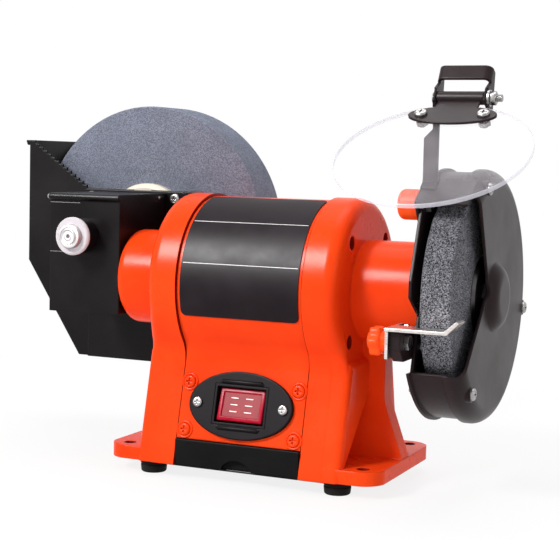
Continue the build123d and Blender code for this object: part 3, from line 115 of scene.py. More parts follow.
rough_spread = 0.05


def finish(name, dark, light, patch, rough, grain, depth, edge, **sockets):
    """A surface with drifting shade, a fine skin and softened edges.

    It drifts between dark and light, patch times a metre. rough is its roughness, grain and depth are
    the skin's, edge is the radius of the softened edges, and sockets are the shader's constants.
    """
    made = bpy.data.materials.new(name)
    made.use_nodes = True
    tree = made.node_tree
    shader = tree.nodes["Principled BSDF"]
    shade = place(tree, drift, Dark=tone(*dark), Light=tone(*light), Scale=patch)
    span = add(tree, "ShaderNodeMapRange", {"To Min": rough - rough_spread, "To Max": rough + rough_spread})
    relief = place(tree, skin, Scale=grain)
    soft_edge = add(tree, "ShaderNodeBevel", {"Radius": edge}, samples=6)
    bump = add(tree, "ShaderNodeBump", {"Distance": depth})
    join(tree,
         (shade, "Color", shader, "Base Color"),
         (shade, "Mask", span, "Value"),
         (span, "Result", shader, "Roughness"),
         (relief, "Height", bump, "Height"),
         (soft_edge, "Normal", bump, "Normal"),
         (bump, "Normal", shader, "Normal"))
    for label, value in sockets.items():
        shader.inputs[label.replace("_", " ")].default_value = value
    return made


def dress(material, *names):
    """Gives CAD nodes their material."""
    for name in names:
        nodes[name].data.materials.clear()
        nodes[name].data.materials.append(material)


def enamel_coat(name):
    """Orange enamel, sprayed over the castings and their screws."""
    return finish(name, dark=(241, 62, 15), light=(248, 72, 20), patch=14, rough=0.24,
                  grain=260, depth=0.00006, edge=0.0014, Specular_IOR_Level=0.06)


def line_across(tree, value, middle, half, core):
    """0 on a line where a value equals its middle, 1 beyond half a width of it; core is its flat share."""
    apart = add(tree, "ShaderNodeMath", {1: middle}, operation="SUBTRACT")
    size = add(tree, "ShaderNodeMath", operation="ABSOLUTE")
    ramp = add(tree, "ShaderNodeMapRange", {"From Min": half * core, "From Max": half},
               interpolation_type="SMOOTHSTEP")
    tree.links.new(value, apart.inputs[0])
    join(tree, (apart, "Value", size, 0), (size, "Value", ramp, "Value"))
    return ramp.outputs["Result"]


# The barrel meets each bell in a shallow dark joint, the same distance either side of the middle
joint_x = 0.0475
joint_half = 0.0003
joint_core = 0.4
joint_depth = 6
joint_shade = 120, 16, 2
enamel = enamel_coat("orange_enamel")
housing = enamel_coat("housing_enamel")
housing_tree = housing.node_tree
housing_shader = housing_tree.nodes["Principled BSDF"]
housing_shade = housing_shader.inputs["Base Color"].links[0].from_socket
housing_bump = housing_shader.inputs["Normal"].links[0].from_node
housing_relief = housing_bump.inputs["Height"].links[0].from_socket
housing_at = add(housing_tree, "ShaderNodeTexCoord")
housing_split = add(housing_tree, "ShaderNodeSeparateXYZ")
housing_side = add(housing_tree, "ShaderNodeMath", operation="ABSOLUTE")
join(housing_tree, (housing_at, "Object", housing_split, "Vector"), (housing_split, "X", housing_side, 0))
joint_mask = line_across(housing_tree, housing_side.outputs["Value"], joint_x, joint_half, joint_core)
joint_mix = add(housing_tree, "ShaderNodeMix", {"A": tone(*joint_shade)}, data_type="RGBA")
joint_height = add(housing_tree, "ShaderNodeMath", {1: joint_depth}, operation="MULTIPLY_ADD")
housing_tree.links.new(joint_mask, joint_mix.inputs["Factor"])
housing_tree.links.new(housing_shade, joint_mix.inputs["B"])
housing_tree.links.new(joint_mask, joint_height.inputs[0])
housing_tree.links.new(housing_relief, joint_height.inputs[2])
join(housing_tree,
     (joint_mix, "Result", housing_shader, "Base Color"),
     (joint_height, "Value", housing_bump, "Height"))
dress(housing, "centre_body", "left_end_casting", "right_end_casting")

# Housing screws: four steel pan heads in the front panel, sprayed with the housing after they were driven.
# Each sits on a low round seat raised from the panel.
foot_half = 0.060
flange_top = 0.019
lean = radians(13)
panel_out = Vector((0, -cos(lean), sin(lean)))
panel_up = Vector((0, sin(lean), cos(lean)))
screw_x = 0.04175
screw_heights = 0.0346, 0.0675
touching = 1e-6
corner_angle = radians(38)


def on_panel(x, z):
    """Point on the leaning front panel at a height."""
    return Vector((x, -foot_half + (z - flange_top) * tan(lean), z))


def whole(bm):
    """Every vertex, edge and face of a shape."""
    return bm.verts[:] + bm.edges[:] + bm.faces[:]


def verts_of(geom):
    """The vertices among an operator's results."""
    return [part for part in geom if isinstance(part, bmesh.types.BMVert)]


def turned(points, centre, along, steps=48, closed=False):
    """A turned shape from (distance along the axis, radius) points; closed joins the ends, as a ring."""
    bm = bmesh.new()
    across = along.orthogonal().normalized()
    line = [bm.verts.new(centre + along * a + across * r) for a, r in points]
    edges = [bm.edges.new(pair) for pair in zip(line, line[1:])]
    if closed:
        edges.append(bm.edges.new((line[-1], line[0])))
    bmesh.ops.spin(bm, geom=line + edges, cent=centre, axis=along, angle=2 * pi, steps=steps, use_merge=True)
    bmesh.ops.remove_doubles(bm, verts=bm.verts, dist=touching)
    bmesh.ops.recalc_face_normals(bm, faces=bm.faces)
    return bm


def copies(bm, offsets, geom=None):
    """Repeats a shape, or some of it, at further offsets."""
    first = geom or whole(bm)
    for offset in offsets:
        made = bmesh.ops.duplicate(bm, geom=first)["geom"]
        bmesh.ops.translate(bm, vec=offset, verts=verts_of(made))


def repeat(bm, places):
    """Repeats a shape made at the first of some places at the others."""
    copies(bm, [at - places[0] for at in places[1:]])


def piece(name, bm, body, slot, *materials):
    """A finished mesh as an object that rides a body, facing outwards and smooth but for its corners."""
    if bm.calc_volume(signed=True) < 0:
        bmesh.ops.reverse_faces(bm, faces=bm.faces)
    for face in bm.faces:
        face.smooth = True
    for edge in bm.edges:
        edge.smooth = edge.calc_face_angle(0) < corner_angle
    mesh = bpy.data.meshes.new(name)
    bm.to_mesh(mesh)
    bm.free()
    for material in materials:
        mesh.materials.append(material)
    made = bpy.data.objects.new(name, mesh)
    bpy.context.scene.collection.objects.link(made)
    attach(made, body)
    return made


dress(enamel, "housing_screws")
seat_at = [on_panel(x, z) for x in (-screw_x, screw_x) for z in screw_heights]
seats = turned([(-0.0004, 0.0046), (0.0007, 0.0047), (0.0010, 0.0051), (0.0010, 0.0058), (0.0006, 0.0063),
                (-0.0004, 0.0066)], seat_at[0], panel_out, closed=True)
repeat(seats, seat_at)
piece("screw_seats", seats, "base", "orange_paint", enamel)

# Leg sweeps: each leg's front and back run up into the bell in one smooth curve, and thin out below the
# tie-bolt holes. They are cast in one with the bells and sprayed with them.
bell_end = 0.072
bell_radius = 0.064
bell_round = 0.009
bell_middle = 0.136
waist_round = 0.022
waist_out, waist_z = 0.067786, 0.083075
waist_low, waist_high = 0.078126, 0.096614
leg_stand = 0.0054
leg_round = 0.0052
sweep_foot, sweep_low, sweep_high = 0.0096, 0.078, 0.126
bend_low, bend_rise = 0.082, 0.022
hole_low = 0.0955
rim_inside, rim_width = 0.0395, 0.008
wall_run = 0.006
wall_share, corner_share = 0.2, 0.4
face_start = 0.6
dive_share, dive_rise = 0.6, 0.008
fade_margin = 0.002
sunk = 0.0003
proud = 0.00005
skin_thick = 0.002


def bell_half(z):
    """Half depth of a bell at a height: a leaning foot, a rounded waist and a round top."""
    if z < waist_low:
        return foot_half - (z - flange_top) * tan(lean)
    if z < waist_high:
        return waist_out - sqrt(waist_round ** 2 - (z - waist_z) ** 2)
    return sqrt(bell_radius ** 2 - (z - bell_middle) ** 2)


def ease(share):
    """Smooth step from 0 to 1."""
    held = min(max(share, 0), 1)
    return held * held * (3 - 2 * held)


def on_leg(across, z):
    """Point on a leg's skin: along its front wall, round its corner, then towards the middle."""
    bend = leg_round + (bell_round - leg_round) * ease((z - bend_low) / bend_rise)
    wall = min(across / wall_share, 1)
    corner = min(max((across - wall_share) / corner_share, 0), 1) * pi / 2
    inward = max((across - face_start) / (1 - face_start), 0)
    dive = 2 * sunk * max(1 - ease(wall / dive_share), ease((z - sweep_high + dive_rise) / dive_rise))
    depth = (bell_half(z) + proud - dive - bend * (1 - cos(corner))) * (1 - inward)
    fade_end = hole_low + (sweep_high - fade_margin - hole_low) * ease((depth - rim_inside) / rim_width)
    stand = (leg_stand + sunk) * (1 - ease((z - sweep_low) / (fade_end - sweep_low))) - sunk
    x = bell_end - bend * (1 - sin(corner)) + (wall - 1) * wall_run + stand * wall
    return Vector((x, -depth, z))


sweep = bmesh.new()
for low, high, reach, columns, rows in ((sweep_foot, sweep_low, face_start, 24, 24),
                                        (sweep_low, sweep_high, 1, 40, 36)):
    for vert in bmesh.ops.create_grid(sweep, x_segments=columns, y_segments=rows, size=0.5)["verts"]:
        vert.co = on_leg((vert.co.x + 0.5) * reach, low + (vert.co.y + 0.5) * (high - low))
bmesh.ops.remove_doubles(sweep, verts=sweep.verts, dist=touching)
faded = [f for f in sweep.faces
         if all(abs(v.co.x - bell_end + sunk) < touching and v.co.z > hole_low for v in f.verts)]
bmesh.ops.delete(sweep, geom=faded, context="FACES")
bmesh.ops.mirror(sweep, geom=whole(sweep), axis="Y", merge_dist=touching)
bmesh.ops.recalc_face_normals(sweep, faces=sweep.faces)
if sum(f.normal.x for f in sweep.faces) < 0:
    bmesh.ops.reverse_faces(sweep, faces=sweep.faces)
bmesh.ops.solidify(sweep, geom=sweep.faces[:], thickness=skin_thick)
bmesh.ops.mirror(sweep, geom=whole(sweep), axis="X", merge_dist=touching)
bmesh.ops.recalc_face_normals(sweep, faces=sweep.faces)
piece("leg_sweeps", sweep, "base", "orange_paint", enamel)

# Bored holes: four tie-bolt sinks in each bell's end and one mounting hole in each flange corner. A dull
# dark red lines their walls as painted shade inside the holes. The tie bolts are zinc-plated steel.
along_shaft = Vector((1, 0, 0))
to_back = Vector((0, 1, 0))
upward = Vector((0, 0, 1))
painted_hole_shade = finish("painted_hole_shade", dark=(132, 18, 7), light=(156, 27, 11), patch=60, rough=0.6,
                    grain=300, depth=0.00005, edge=0.0002, Specular_IOR_Level=0.05)
zinc = finish("zinc_plate", dark=(132, 130, 130), light=(176, 173, 172), patch=90, rough=0.28,
              grain=1200, depth=0.00002, edge=0.0003, Metallic=1.0)
tie_circle = 0.048
tie_reach = tie_circle * cos(pi / 4)
mount_x, mount_y = 0.090, 0.0485
sink_deep, sink_inner, sink_outer = 0.0064, 0.0046, 0.0048
bore_deep, bore_inner, bore_outer = 0.0093, 0.00442, 0.00449
hole_lip = 0.0002


def hole_wall(deep, inner, outer, centre, along):
    """The thin wall of a bored hole, just under its lip."""
    return turned([(-deep, inner), (-deep, outer), (-hole_lip, outer), (-hole_lip, inner)], centre, along,
                  closed=True)


dress(zinc, "tie_bolts")
sink_at = [Vector((bell_end, y, bell_middle + z))
           for y in (-tie_reach, tie_reach) for z in (-tie_reach, tie_reach)]
sinks = hole_wall(sink_deep, sink_inner, sink_outer, sink_at[0], along_shaft)
repeat(sinks, sink_at)
copies(sinks, [along_shaft * (sink_deep + hole_lip - 2 * bell_end)])
piece("sink_walls", sinks, "base", "orange_paint", painted_hole_shade)
mount_at = [Vector((x, y, flange_top)) for x in (-mount_x, mount_x) for y in (-mount_y, mount_y)]
bores = hole_wall(bore_deep, bore_inner, bore_outer, mount_at[0], upward)
repeat(bores, mount_at)
piece("mount_bore_walls", bores, "base", "orange_paint", painted_hole_shade)

# Nameplate: a black printed foil with rounded corners, glued round the front of the barrel.
# Two fine white rules divide it, and its face is otherwise bare.
shaft = Vector((0, 0, 0.136))
foil = finish("label_foil", dark=(25, 18, 22), light=(32, 24, 29), patch=30, rough=0.42,
              grain=700, depth=0.00001, edge=0.0002, Specular_IOR_Level=0.1)
rule_ink = finish("white_ink", dark=(214, 210, 210), light=(228, 226, 226), patch=200, rough=0.55,
                  grain=700, depth=0.00001, edge=0.0001)
foil_radius = 0.0622
foil_thick = 0.0006
facet = 3
rule_half_angle = 0.22


def raised(bm, faces, rise):
    """Gives flat faces a thickness by a vector, and returns the new vertices."""
    made = verts_of(bmesh.ops.extrude_face_region(bm, geom=faces)["geom"])
    bmesh.ops.translate(bm, vec=rise, verts=made)
    return made


def round_barrel(name, x_half, radius, thick, start, end, corner, slot, material):
    """A strip wrapped round the barrel between two angles, with rounded corners."""
    bm = bmesh.new()
    arc = radius * radians(end - start)
    bmesh.ops.create_grid(bm, x_segments=1, y_segments=1, size=0.5)
    bmesh.ops.scale(bm, vec=(2 * x_half, arc, 1), verts=bm.verts)
    if corner:
        bmesh.ops.bevel(bm, geom=bm.verts[:], offset=corner, segments=6, profile=0.5, affect="VERTICES",
                        material=-1)
    for cut in range(1, int(end - start) // facet + 1):
        height = -arc / 2 + cut * radius * radians(facet)
        bmesh.ops.bisect_plane(bm, geom=whole(bm), plane_co=(0, height, 0), plane_no=(0, 1, 0))
    raised(bm, bm.faces[:], (0, 0, thick))
    for vert in bm.verts:
        angle = radians((start + end) / 2) + vert.co.y / radius
        reach = radius + vert.co.z
        vert.co = shaft + Vector((vert.co.x, reach * cos(angle), reach * sin(angle)))
    bmesh.ops.recalc_face_normals(bm, faces=bm.faces)
    return piece(name, bm, "base", slot, material)


label = round_barrel("label_foil", x_half=0.0447, radius=foil_radius, thick=foil_thick, start=100, end=199,
                     corner=0.004, slot="label_black", material=foil)
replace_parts(label, "nameplate")
for name, angle in (("upper_rule", 134), ("lower_rule", 164.5)):
    round_barrel(name, x_half=0.0435, radius=foil_radius + foil_thick, thick=0.00008,
                 start=angle - rule_half_angle, end=angle + rule_half_angle, corner=0,
                 slot="white_plastic", material=rule_ink)

# Switch plate: an oval black moulding held to the panel by plated screws, with the switch's body behind it.
# A rounded lip stands above and below its window.
moulding = finish("black_moulding", dark=(15, 11, 14), light=(21, 16, 20), patch=40, rough=0.45,
                  grain=1800, depth=0.00008, edge=0.0008, Specular_IOR_Level=0.07)
dress(moulding, "switch_plate", "switch_housing")
dress(zinc, "switch_plate_screws")
switch_z = 0.054
plate_thick = 0.003
lip_up = 0.0162
plate_face = on_panel(0, switch_z) + panel_out * plate_thick
lips = turned([(-0.0160, 0), (-0.0157, 0.0009), (-0.0148, 0.0015), (0.0148, 0.0015), (0.0157, 0.0009),
               (0.0160, 0)], plate_face + panel_up * lip_up, along_shaft, steps=24)
copies(lips, [panel_up * -2 * lip_up])
piece("window_lips", lips, "base", "black_plastic", moulding)

# Rocker: a moulded ruby key that tips on pins in the switch plate's window. A milky panel is let into its
# face, and six pale marks are moulded over it.
ruby = finish("rocker_ruby", dark=(158, 5, 34), light=(176, 10, 44), patch=60, rough=0.25,
              grain=300, depth=0.00001, edge=0.0008, Specular_IOR_Level=0.08)
milky = finish("rocker_window", dark=(140, 40, 48), light=(172, 60, 66), patch=90, rough=0.35,
               grain=300, depth=0.00001, edge=0.0004, Specular_IOR_Level=0.06)
mark_white = finish("rocker_marks", dark=(222, 196, 190), light=(234, 212, 206), patch=200, rough=0.4,
                    grain=300, depth=0.00001, edge=0.0002)
pin_depth = 0.007
rocker_lean = radians(20)
rocker_size = 0.0344, 0.0232, 0.0070
rocker_rise = 0.0017
rocker_edge = 0.0008
rocker_border = 0.0026
window_slope, window_depth = 0.0008, 0.0011
mark_size = 0.0055, 0.0007, 0.0005
mark_first = -0.0058, -0.0048, 0.0042
mark_step_x, mark_step_y = 0.0112, 0.0048
more_marks = (0, 1), (0, 2), (1, 0), (1, 1), (1, 2)


def stand_at(at, first, second, third):
    """Matrix that takes a shape made at the origin to a place, its axes along three directions."""
    return Matrix.Translation(at) @ Matrix((first, second, third)).transposed().to_4x4()


rocker = bmesh.new()
bmesh.ops.create_cube(rocker, size=1)
bmesh.ops.scale(rocker, vec=rocker_size, verts=rocker.verts)
bmesh.ops.translate(rocker, vec=(0, 0, rocker_rise), verts=rocker.verts)
bmesh.ops.bevel(rocker, geom=rocker.edges[:], offset=rocker_edge, segments=3, profile=0.5, affect="EDGES",
                material=-1)
rocker_top = max(rocker.faces, key=lambda face: face.calc_center_median().z)
bmesh.ops.inset_region(rocker, faces=[rocker_top], thickness=rocker_border)
bmesh.ops.inset_region(rocker, faces=[rocker_top], thickness=window_slope, depth=-window_depth)
rocker_top.material_index = 1
mark_verts = bmesh.ops.create_cube(rocker, size=1)["verts"]
mark_edges = list({edge for vert in mark_verts for edge in vert.link_edges})
mark_faces = list({face for vert in mark_verts for face in vert.link_faces})
for face in mark_faces:
    face.material_index = 2
bmesh.ops.scale(rocker, vec=mark_size, verts=mark_verts)
bmesh.ops.translate(rocker, vec=mark_first, verts=mark_verts)
copies(rocker, [(mark_step_x * column, mark_step_y * row, 0) for column, row in more_marks],
       mark_verts + mark_edges + mark_faces)
rocker_pin = on_panel(0, switch_z) + panel_out * (plate_thick - pin_depth)
rocker_up = Vector((0, sin(rocker_lean), cos(rocker_lean)))
rocker_out = Vector((0, -cos(rocker_lean), sin(rocker_lean)))
bmesh.ops.transform(rocker, matrix=stand_at(rocker_pin, along_shaft, rocker_up, rocker_out),
                    verts=rocker.verts)
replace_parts(piece("rocker", rocker, "rocker", "red_plastic", ruby, milky, mark_white), "switch_rocker")

# Coolant drawer: a moulded black plastic tray that slides out under the panel. A finger notch is let into
# the lower edge of its front.
drawer_plastic = finish("drawer_plastic", dark=(8, 7, 7), light=(13, 11, 11), patch=30, rough=0.5,
                        grain=1500, depth=0.00008, edge=0.0012, Specular_IOR_Level=0.07)
dress(drawer_plastic, "coolant_drawer")

# Bottom plate: a flat steel sheet that closes the housing from below, under the drawer.
# It has the black powder coat of the sheet pieces on the left.
powder = finish("black_powder_coat", dark=(13, 9, 11), light=(19, 14, 16), patch=20, rough=0.32,
                grain=900, depth=0.00004, edge=0.0018, Specular_IOR_Level=0.14)
dress(powder, "bottom_plate")

# Feet: four moulded rubber pads with a groove round each, which stand under the flanges.
# Each is held by a plated screw sunk into it from below.
rubber = finish("foot_rubber", dark=(12, 9, 8), light=(18, 14, 13), patch=60, rough=0.7,
                grain=1500, depth=0.0001, edge=0.0006, Specular_IOR_Level=0.15)
dress(zinc, "foot_screws")
foot_x, foot_y = 0.071, 0.047
feet_at = [Vector((x, y, 0)) for x in (-foot_x, foot_x) for y in (-foot_y, foot_y)]
feet = turned([(0, 0.0042), (0, 0.0083), (0.0004, 0.0088), (0.0010, 0.0091), (0.0050, 0.0095),
               (0.0053, 0.0091), (0.0060, 0.0091), (0.0063, 0.0096), (0.0080, 0.0098), (0.0080, 0.0022),
               (0.0040, 0.0022), (0.0040, 0.0042)], feet_at[0], upward, closed=True)
repeat(feet, feet_at)
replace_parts(piece("feet", feet, "base", "rubber", rubber), "rubber_feet")

# Cord sleeve: a ribbed rubber moulding for the cord's entry, pressed into the back of the housing as far
# as its collar.
entry = Vector((0, 0.0559, switch_z))
sleeve = turned([(-0.0100, 0.0040), (-0.0100, 0.0070), (0, 0.0070), (0, 0.0100), (0.0026, 0.0100),
                 (0.0034, 0.0092), (0.0040, 0.0074), (0.0052, 0.0070), (0.0056, 0.0060), (0.0066, 0.0060),
                 (0.0070, 0.0067), (0.0080, 0.0066), (0.0084, 0.0057), (0.0094, 0.0057), (0.0098, 0.0063),
                 (0.0108, 0.0062), (0.0112, 0.0052), (0.0122, 0.0050), (0.0122, 0.0040)],
                entry, to_back, closed=True)
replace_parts(piece("cord_sleeve", sleeve, "base", "rubber", rubber), "cord_grommet")

# Gear box: folded black sheet on the left neck, powder coated, with a rolled edge round a steel pin along
# its front, two pressed seams with a painted highlight in pale grey, and three rivets on its inner side.
seam_highlight = finish("painted_seam_highlight", dark=(58, 52, 54), light=(92, 86, 88), patch=300, rough=0.4,
                   grain=900, depth=0.00002, edge=0.0002)
dress(powder, "gear_box", "gear_box_back", "front_bush", "back_bush")
dress(zinc, "gear_box_screws")
box_low, box_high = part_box("gear_box")
box_front = -0.029
pin_drop = 0.0026
seam_z, seam_apart, seam_run, seam_rise = 0.190, 0.037, 0.0264, 0.00035
rivet_y, rivet_z, rivet_drop = 0.0306, 0.1939, 0.072
low_rivets = 0.006, -0.050
run_out = 0.0004
pin = turned([(-0.0010, 0), (-0.0010, 0.0020), (0.0010, 0.0020), (0.0019, 0.0014), (0.0022, 0)],
             Vector((box_low.x, box_front, box_high.z - pin_drop)), -along_shaft, steps=24)
piece("edge_pin", pin, "base", "zinc_steel", zinc)
seam = turned([(0, 0), (run_out, seam_rise), (seam_run - run_out, seam_rise), (seam_run, 0)],
              Vector((box_low.x, box_front, seam_z)), along_shaft, steps=12)
copies(seam, [upward * -seam_apart])
piece("pressed_seams", seam, "base", "black_sheet", seam_highlight)
rivets = turned([(-0.0005, 0), (-0.0005, 0.0013), (0.0004, 0.0013), (0.0008, 0.0009), (0.0010, 0)],
                Vector((box_high.x, rivet_y, rivet_z)), along_shaft, steps=20)
copies(rivets, [Vector((0, back, -rivet_drop)) for back in low_rivets])
piece("box_rivets", rivets, "base", "zinc_steel", zinc)

# Wet shaft: turned and ground steel. It ends in front in a pale nylon washer and a turned round nut with
# satin plating.
steel = finish("ground_steel", dark=(96, 95, 95), light=(132, 130, 130), patch=120, rough=0.38,
               grain=900, depth=0.00002, edge=0.0003, Metallic=1.0)
washer_white = finish("washer_nylon", dark=(196, 189, 194), light=(212, 206, 210), patch=40, rough=0.45,
                      grain=500, depth=0.00003, edge=0.0008, Specular_IOR_Level=0.07)
nut_plate = finish("satin_zinc", dark=(158, 155, 156), light=(186, 183, 184), patch=90, rough=0.46,
                   grain=1200, depth=0.00002, edge=0.0003, Metallic=1.0)
dress(steel, "wet_shaft")
dress(washer_white, "wet_washer")
nut_seat = Vector((-0.1435, -0.0463, 0.166))
nut = turned([(0, 0), (0, 0.0090), (0.0032, 0.0090), (0.0040, 0.0084), (0.0042, 0.0070), (0.0037, 0.0067),
              (0.0037, 0.0062), (0.0046, 0.0058), (0.0050, 0.0052), (0.0047, 0.0046), (0.0047, 0.0028),
              (0.0050, 0.0024), (0.0049, 0.0016), (0.0034, 0.0010), (0.0030, 0)], nut_seat, -to_back)
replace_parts(piece("shaft_nut", nut, "wet_rotor", "zinc_steel", nut_plate), "wet_nut")

# Wet wheel: a 200 mm disc of blue-grey bonded grit, clamped between two moulded cream hubs by a plated nut
# behind. The grit is pressed and fired, so each grain has its own shade over a slow cloudiness.
grit, grit_in, grit_out = effect(
    "bonded_grit",
    {"Dark": "NodeSocketColor", "Light": "NodeSocketColor", "Scale": "NodeSocketFloat",
     "Contrast": "NodeSocketFloat"},
    {"Color": "NodeSocketColor", "Height": "NodeSocketFloat"})
grit_at = add(grit, "ShaderNodeTexCoord")
grit_cell = add(grit, "ShaderNodeTexVoronoi")
grit_pick = add(grit, "ShaderNodeSeparateColor")
grit_cloud = add(grit, "ShaderNodeTexNoise", {"Scale": 60})
grit_patch = add(grit, "ShaderNodeMapRange", {"From Min": 0.3, "From Max": 0.7, "To Min": 0.8, "To Max": 1.2})
grit_curve = add(grit, "ShaderNodeMath", operation="POWER")
grit_shade = add(grit, "ShaderNodeMath", operation="MULTIPLY")
grit_mix = add(grit, "ShaderNodeMix", data_type="RGBA")
join(grit,
     (grit_at, "Object", grit_cell, "Vector"),
     (grit_at, "Object", grit_cloud, "Vector"),
     (grit_in, "Scale", grit_cell, "Scale"),
     (grit_cell, "Color", grit_pick, "Color"),
     (grit_cloud, "Fac", grit_patch, "Value"),
     (grit_pick, "Red", grit_curve, 0),
     (grit_in, "Contrast", grit_curve, 1),
     (grit_patch, "Result", grit_shade, 0),
     (grit_curve, "Value", grit_shade, 1),
     (grit_shade, "Value", grit_mix, "Factor"),
     (grit_in, "Dark", grit_mix, "A"),
     (grit_in, "Light", grit_mix, "B"),
     (grit_mix, "Result", grit_out, "Color"),
     (grit_pick, "Green", grit_out, "Height"))


def stone(name, dark, light, cell, contrast, depth):
    """Bonded grit: each grain has its own shade and stands at its own height."""
    made = bpy.data.materials.new(name)
    made.use_nodes = True
    tree = made.node_tree
    shader = tree.nodes["Principled BSDF"]
    grains = place(tree, grit, Dark=tone(*dark), Light=tone(*light), Scale=cell, Contrast=contrast)
    bump = add(tree, "ShaderNodeBump", {"Distance": depth})
    join(tree,
         (grains, "Color", shader, "Base Color"),
         (grains, "Height", bump, "Height"),
         (bump, "Normal", shader, "Normal"))
    shader.inputs["Roughness"].default_value = 0.9
    shader.inputs["Specular IOR Level"].default_value = 0.05
    return made


wet_grit = stone("wet_grit", dark=(100, 104, 118), light=(144, 149, 165), cell=1600, contrast=1.0,
                 depth=0.0002)
cream = finish("cream_hub", dark=(236, 222, 200), light=(244, 233, 216), patch=40, rough=0.4,
               grain=500, depth=0.00003, edge=0.0008)
dress(wet_grit, "wet_wheel")
dress(cream, "wet_front_hub", "wet_back_hub")
dress(zinc, "wet_back_nut")

# Water tank: folded black sheet under the wet wheel, powder coated and screwed to the gear box through
# spacers. Its tall end is hemmed over along the top.
dress(powder, "water_tank", "tank_spacers")
dress(zinc, "tank_screws")
tank_low, tank_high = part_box("water_tank")
hem_front, hem_inset, hem_drop, hem_radius = 0.0592, 0.0016, 0.0026, 0.0015
hem_short = 0.0008
hem_run = tank_high.y - hem_front - hem_short
hem = turned([(0, 0), (run_out, hem_radius), (hem_run - run_out, hem_radius), (hem_run, 0)],
             Vector((tank_low.x + hem_inset, hem_front, tank_high.z - hem_drop)), to_back, steps=20)
piece("tank_hem", hem, "base", "black_sheet", powder)

# Dry wheel: a 150 mm disc of coarse dark bonded grit on the motor's shaft, clamped between two steel
# flanges by a nut. The flanges and nut are a darker steel than the shafts.
dry_grit = stone("dry_grit", dark=(8, 8, 9), light=(170, 170, 178), cell=1900, contrast=1.5, depth=0.0005)
dark_steel = finish("darker_steel", dark=(62, 60, 60), light=(84, 82, 82), patch=120, rough=0.45,
                    grain=900, depth=0.00003, edge=0.0005, Metallic=1.0)
dress(dry_grit, "dry_wheel")
dress(dark_steel, "dry_nut", "dry_inner_flange", "dry_outer_flange")

# Guard: two black powder-coated pressings round the dry wheel, screwed to the right neck and closed
# by plated bolts. The spark deflector is bent from the same sheet and clamped by a smooth orange knob.
guard_coat = finish("guard_powder_coat", dark=(36, 25, 27), light=(43, 32, 34), patch=20, rough=0.32,
                    grain=900, depth=0.00004, edge=0.0014, Specular_IOR_Level=0.1)
knob_orange = finish("knob_plastic", dark=(244, 74, 22), light=(251, 86, 30), patch=40, rough=0.35,
                     grain=500, depth=0.00003, edge=0.0012, Specular_IOR_Level=0.07)
dress(guard_coat, "guard_inner", "guard_cover", "spark_deflector")
dress(knob_orange, "deflector_knob")
dress(zinc, "guard_bolts", "guard_mount_screws", "deflector_bolt")

# Tool rest: bright steel sheet, bent and brushed lengthways, on a black bracket screwed to the guard.
# A plated bolt clamps it.
bright_sheet = finish("bright_sheet", dark=(196, 188, 184), light=(222, 216, 212), patch=160, rough=0.3,
                      grain=1200, depth=0.00003, edge=0.0004, Metallic=1.0)
brush_stretch = 40, 1100, 1100
sheet_tree = bright_sheet.node_tree
sheet_shader = sheet_tree.nodes["Principled BSDF"]
sheet_bump = sheet_shader.inputs["Normal"].links[0].from_node
sheet_at = add(sheet_tree, "ShaderNodeTexCoord")
sheet_stretch = add(sheet_tree, "ShaderNodeMapping", {"Scale": brush_stretch})
sheet_brush = add(sheet_tree, "ShaderNodeTexNoise", {"Scale": 1})
sheet_rough = add(sheet_tree, "ShaderNodeMapRange", {"To Min": 0.16, "To Max": 0.42})
join(sheet_tree,
     (sheet_at, "Object", sheet_stretch, "Vector"),
     (sheet_stretch, "Vector", sheet_brush, "Vector"),
     (sheet_brush, "Fac", sheet_rough, "Value"),
     (sheet_rough, "Result", sheet_shader, "Roughness"),
     (sheet_brush, "Fac", sheet_bump, "Height"))
dress(bright_sheet, "tool_rest")
dress(guard_coat, "rest_bracket")
dress(zinc, "rest_bolt", "rest_bracket_screws")

# Star knob: a six-lobed head on a tapered collar, moulded in orange plastic round the tool rest's bolt.
# It is turned by hand to clamp the rest.
knob_at = Vector((0.1165, -0.075, 0.1105))
lobes = 6
lobe_share = 0.11
star_radius = 0.0092
star_thick = 0.0072
star_away = 0.0135
star_edge = 0.0014
star = bmesh.new()
for vert in bmesh.ops.create_circle(star, cap_ends=True, segments=96, radius=star_radius)["verts"]:
    round_angle = Vector((vert.co.x, vert.co.y)).angle_signed(Vector((1, 0)))
    vert.co *= 1 + lobe_share * cos(lobes * round_angle)
raised(star, star.faces[:], (0, 0, star_thick))
bmesh.ops.recalc_face_normals(star, faces=star.faces)
rims = [e for e in star.edges if abs(e.verts[0].co.z - e.verts[1].co.z) < touching]
bmesh.ops.bevel(star, geom=rims, offset=star_edge, segments=4, profile=0.5, affect="EDGES", material=-1)
bmesh.ops.transform(star, matrix=stand_at(knob_at - along_shaft * star_away, to_back, upward, along_shaft),
                    verts=star.verts)
star_piece = piece("star_knob", star, "lower_knob", "orange_plastic", knob_orange)
collar = turned([(0, 0), (0, 0.0062), (0.0055, 0.0066), (0.0075, 0.0072), (0.0136, 0.0060), (0.0150, 0.0056),
                 (0.0154, 0.0048), (0.0154, 0)], knob_at, -along_shaft)
piece("knob_collar", collar, "lower_knob", "orange_plastic", knob_orange)
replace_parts(star_piece, "rest_knob")

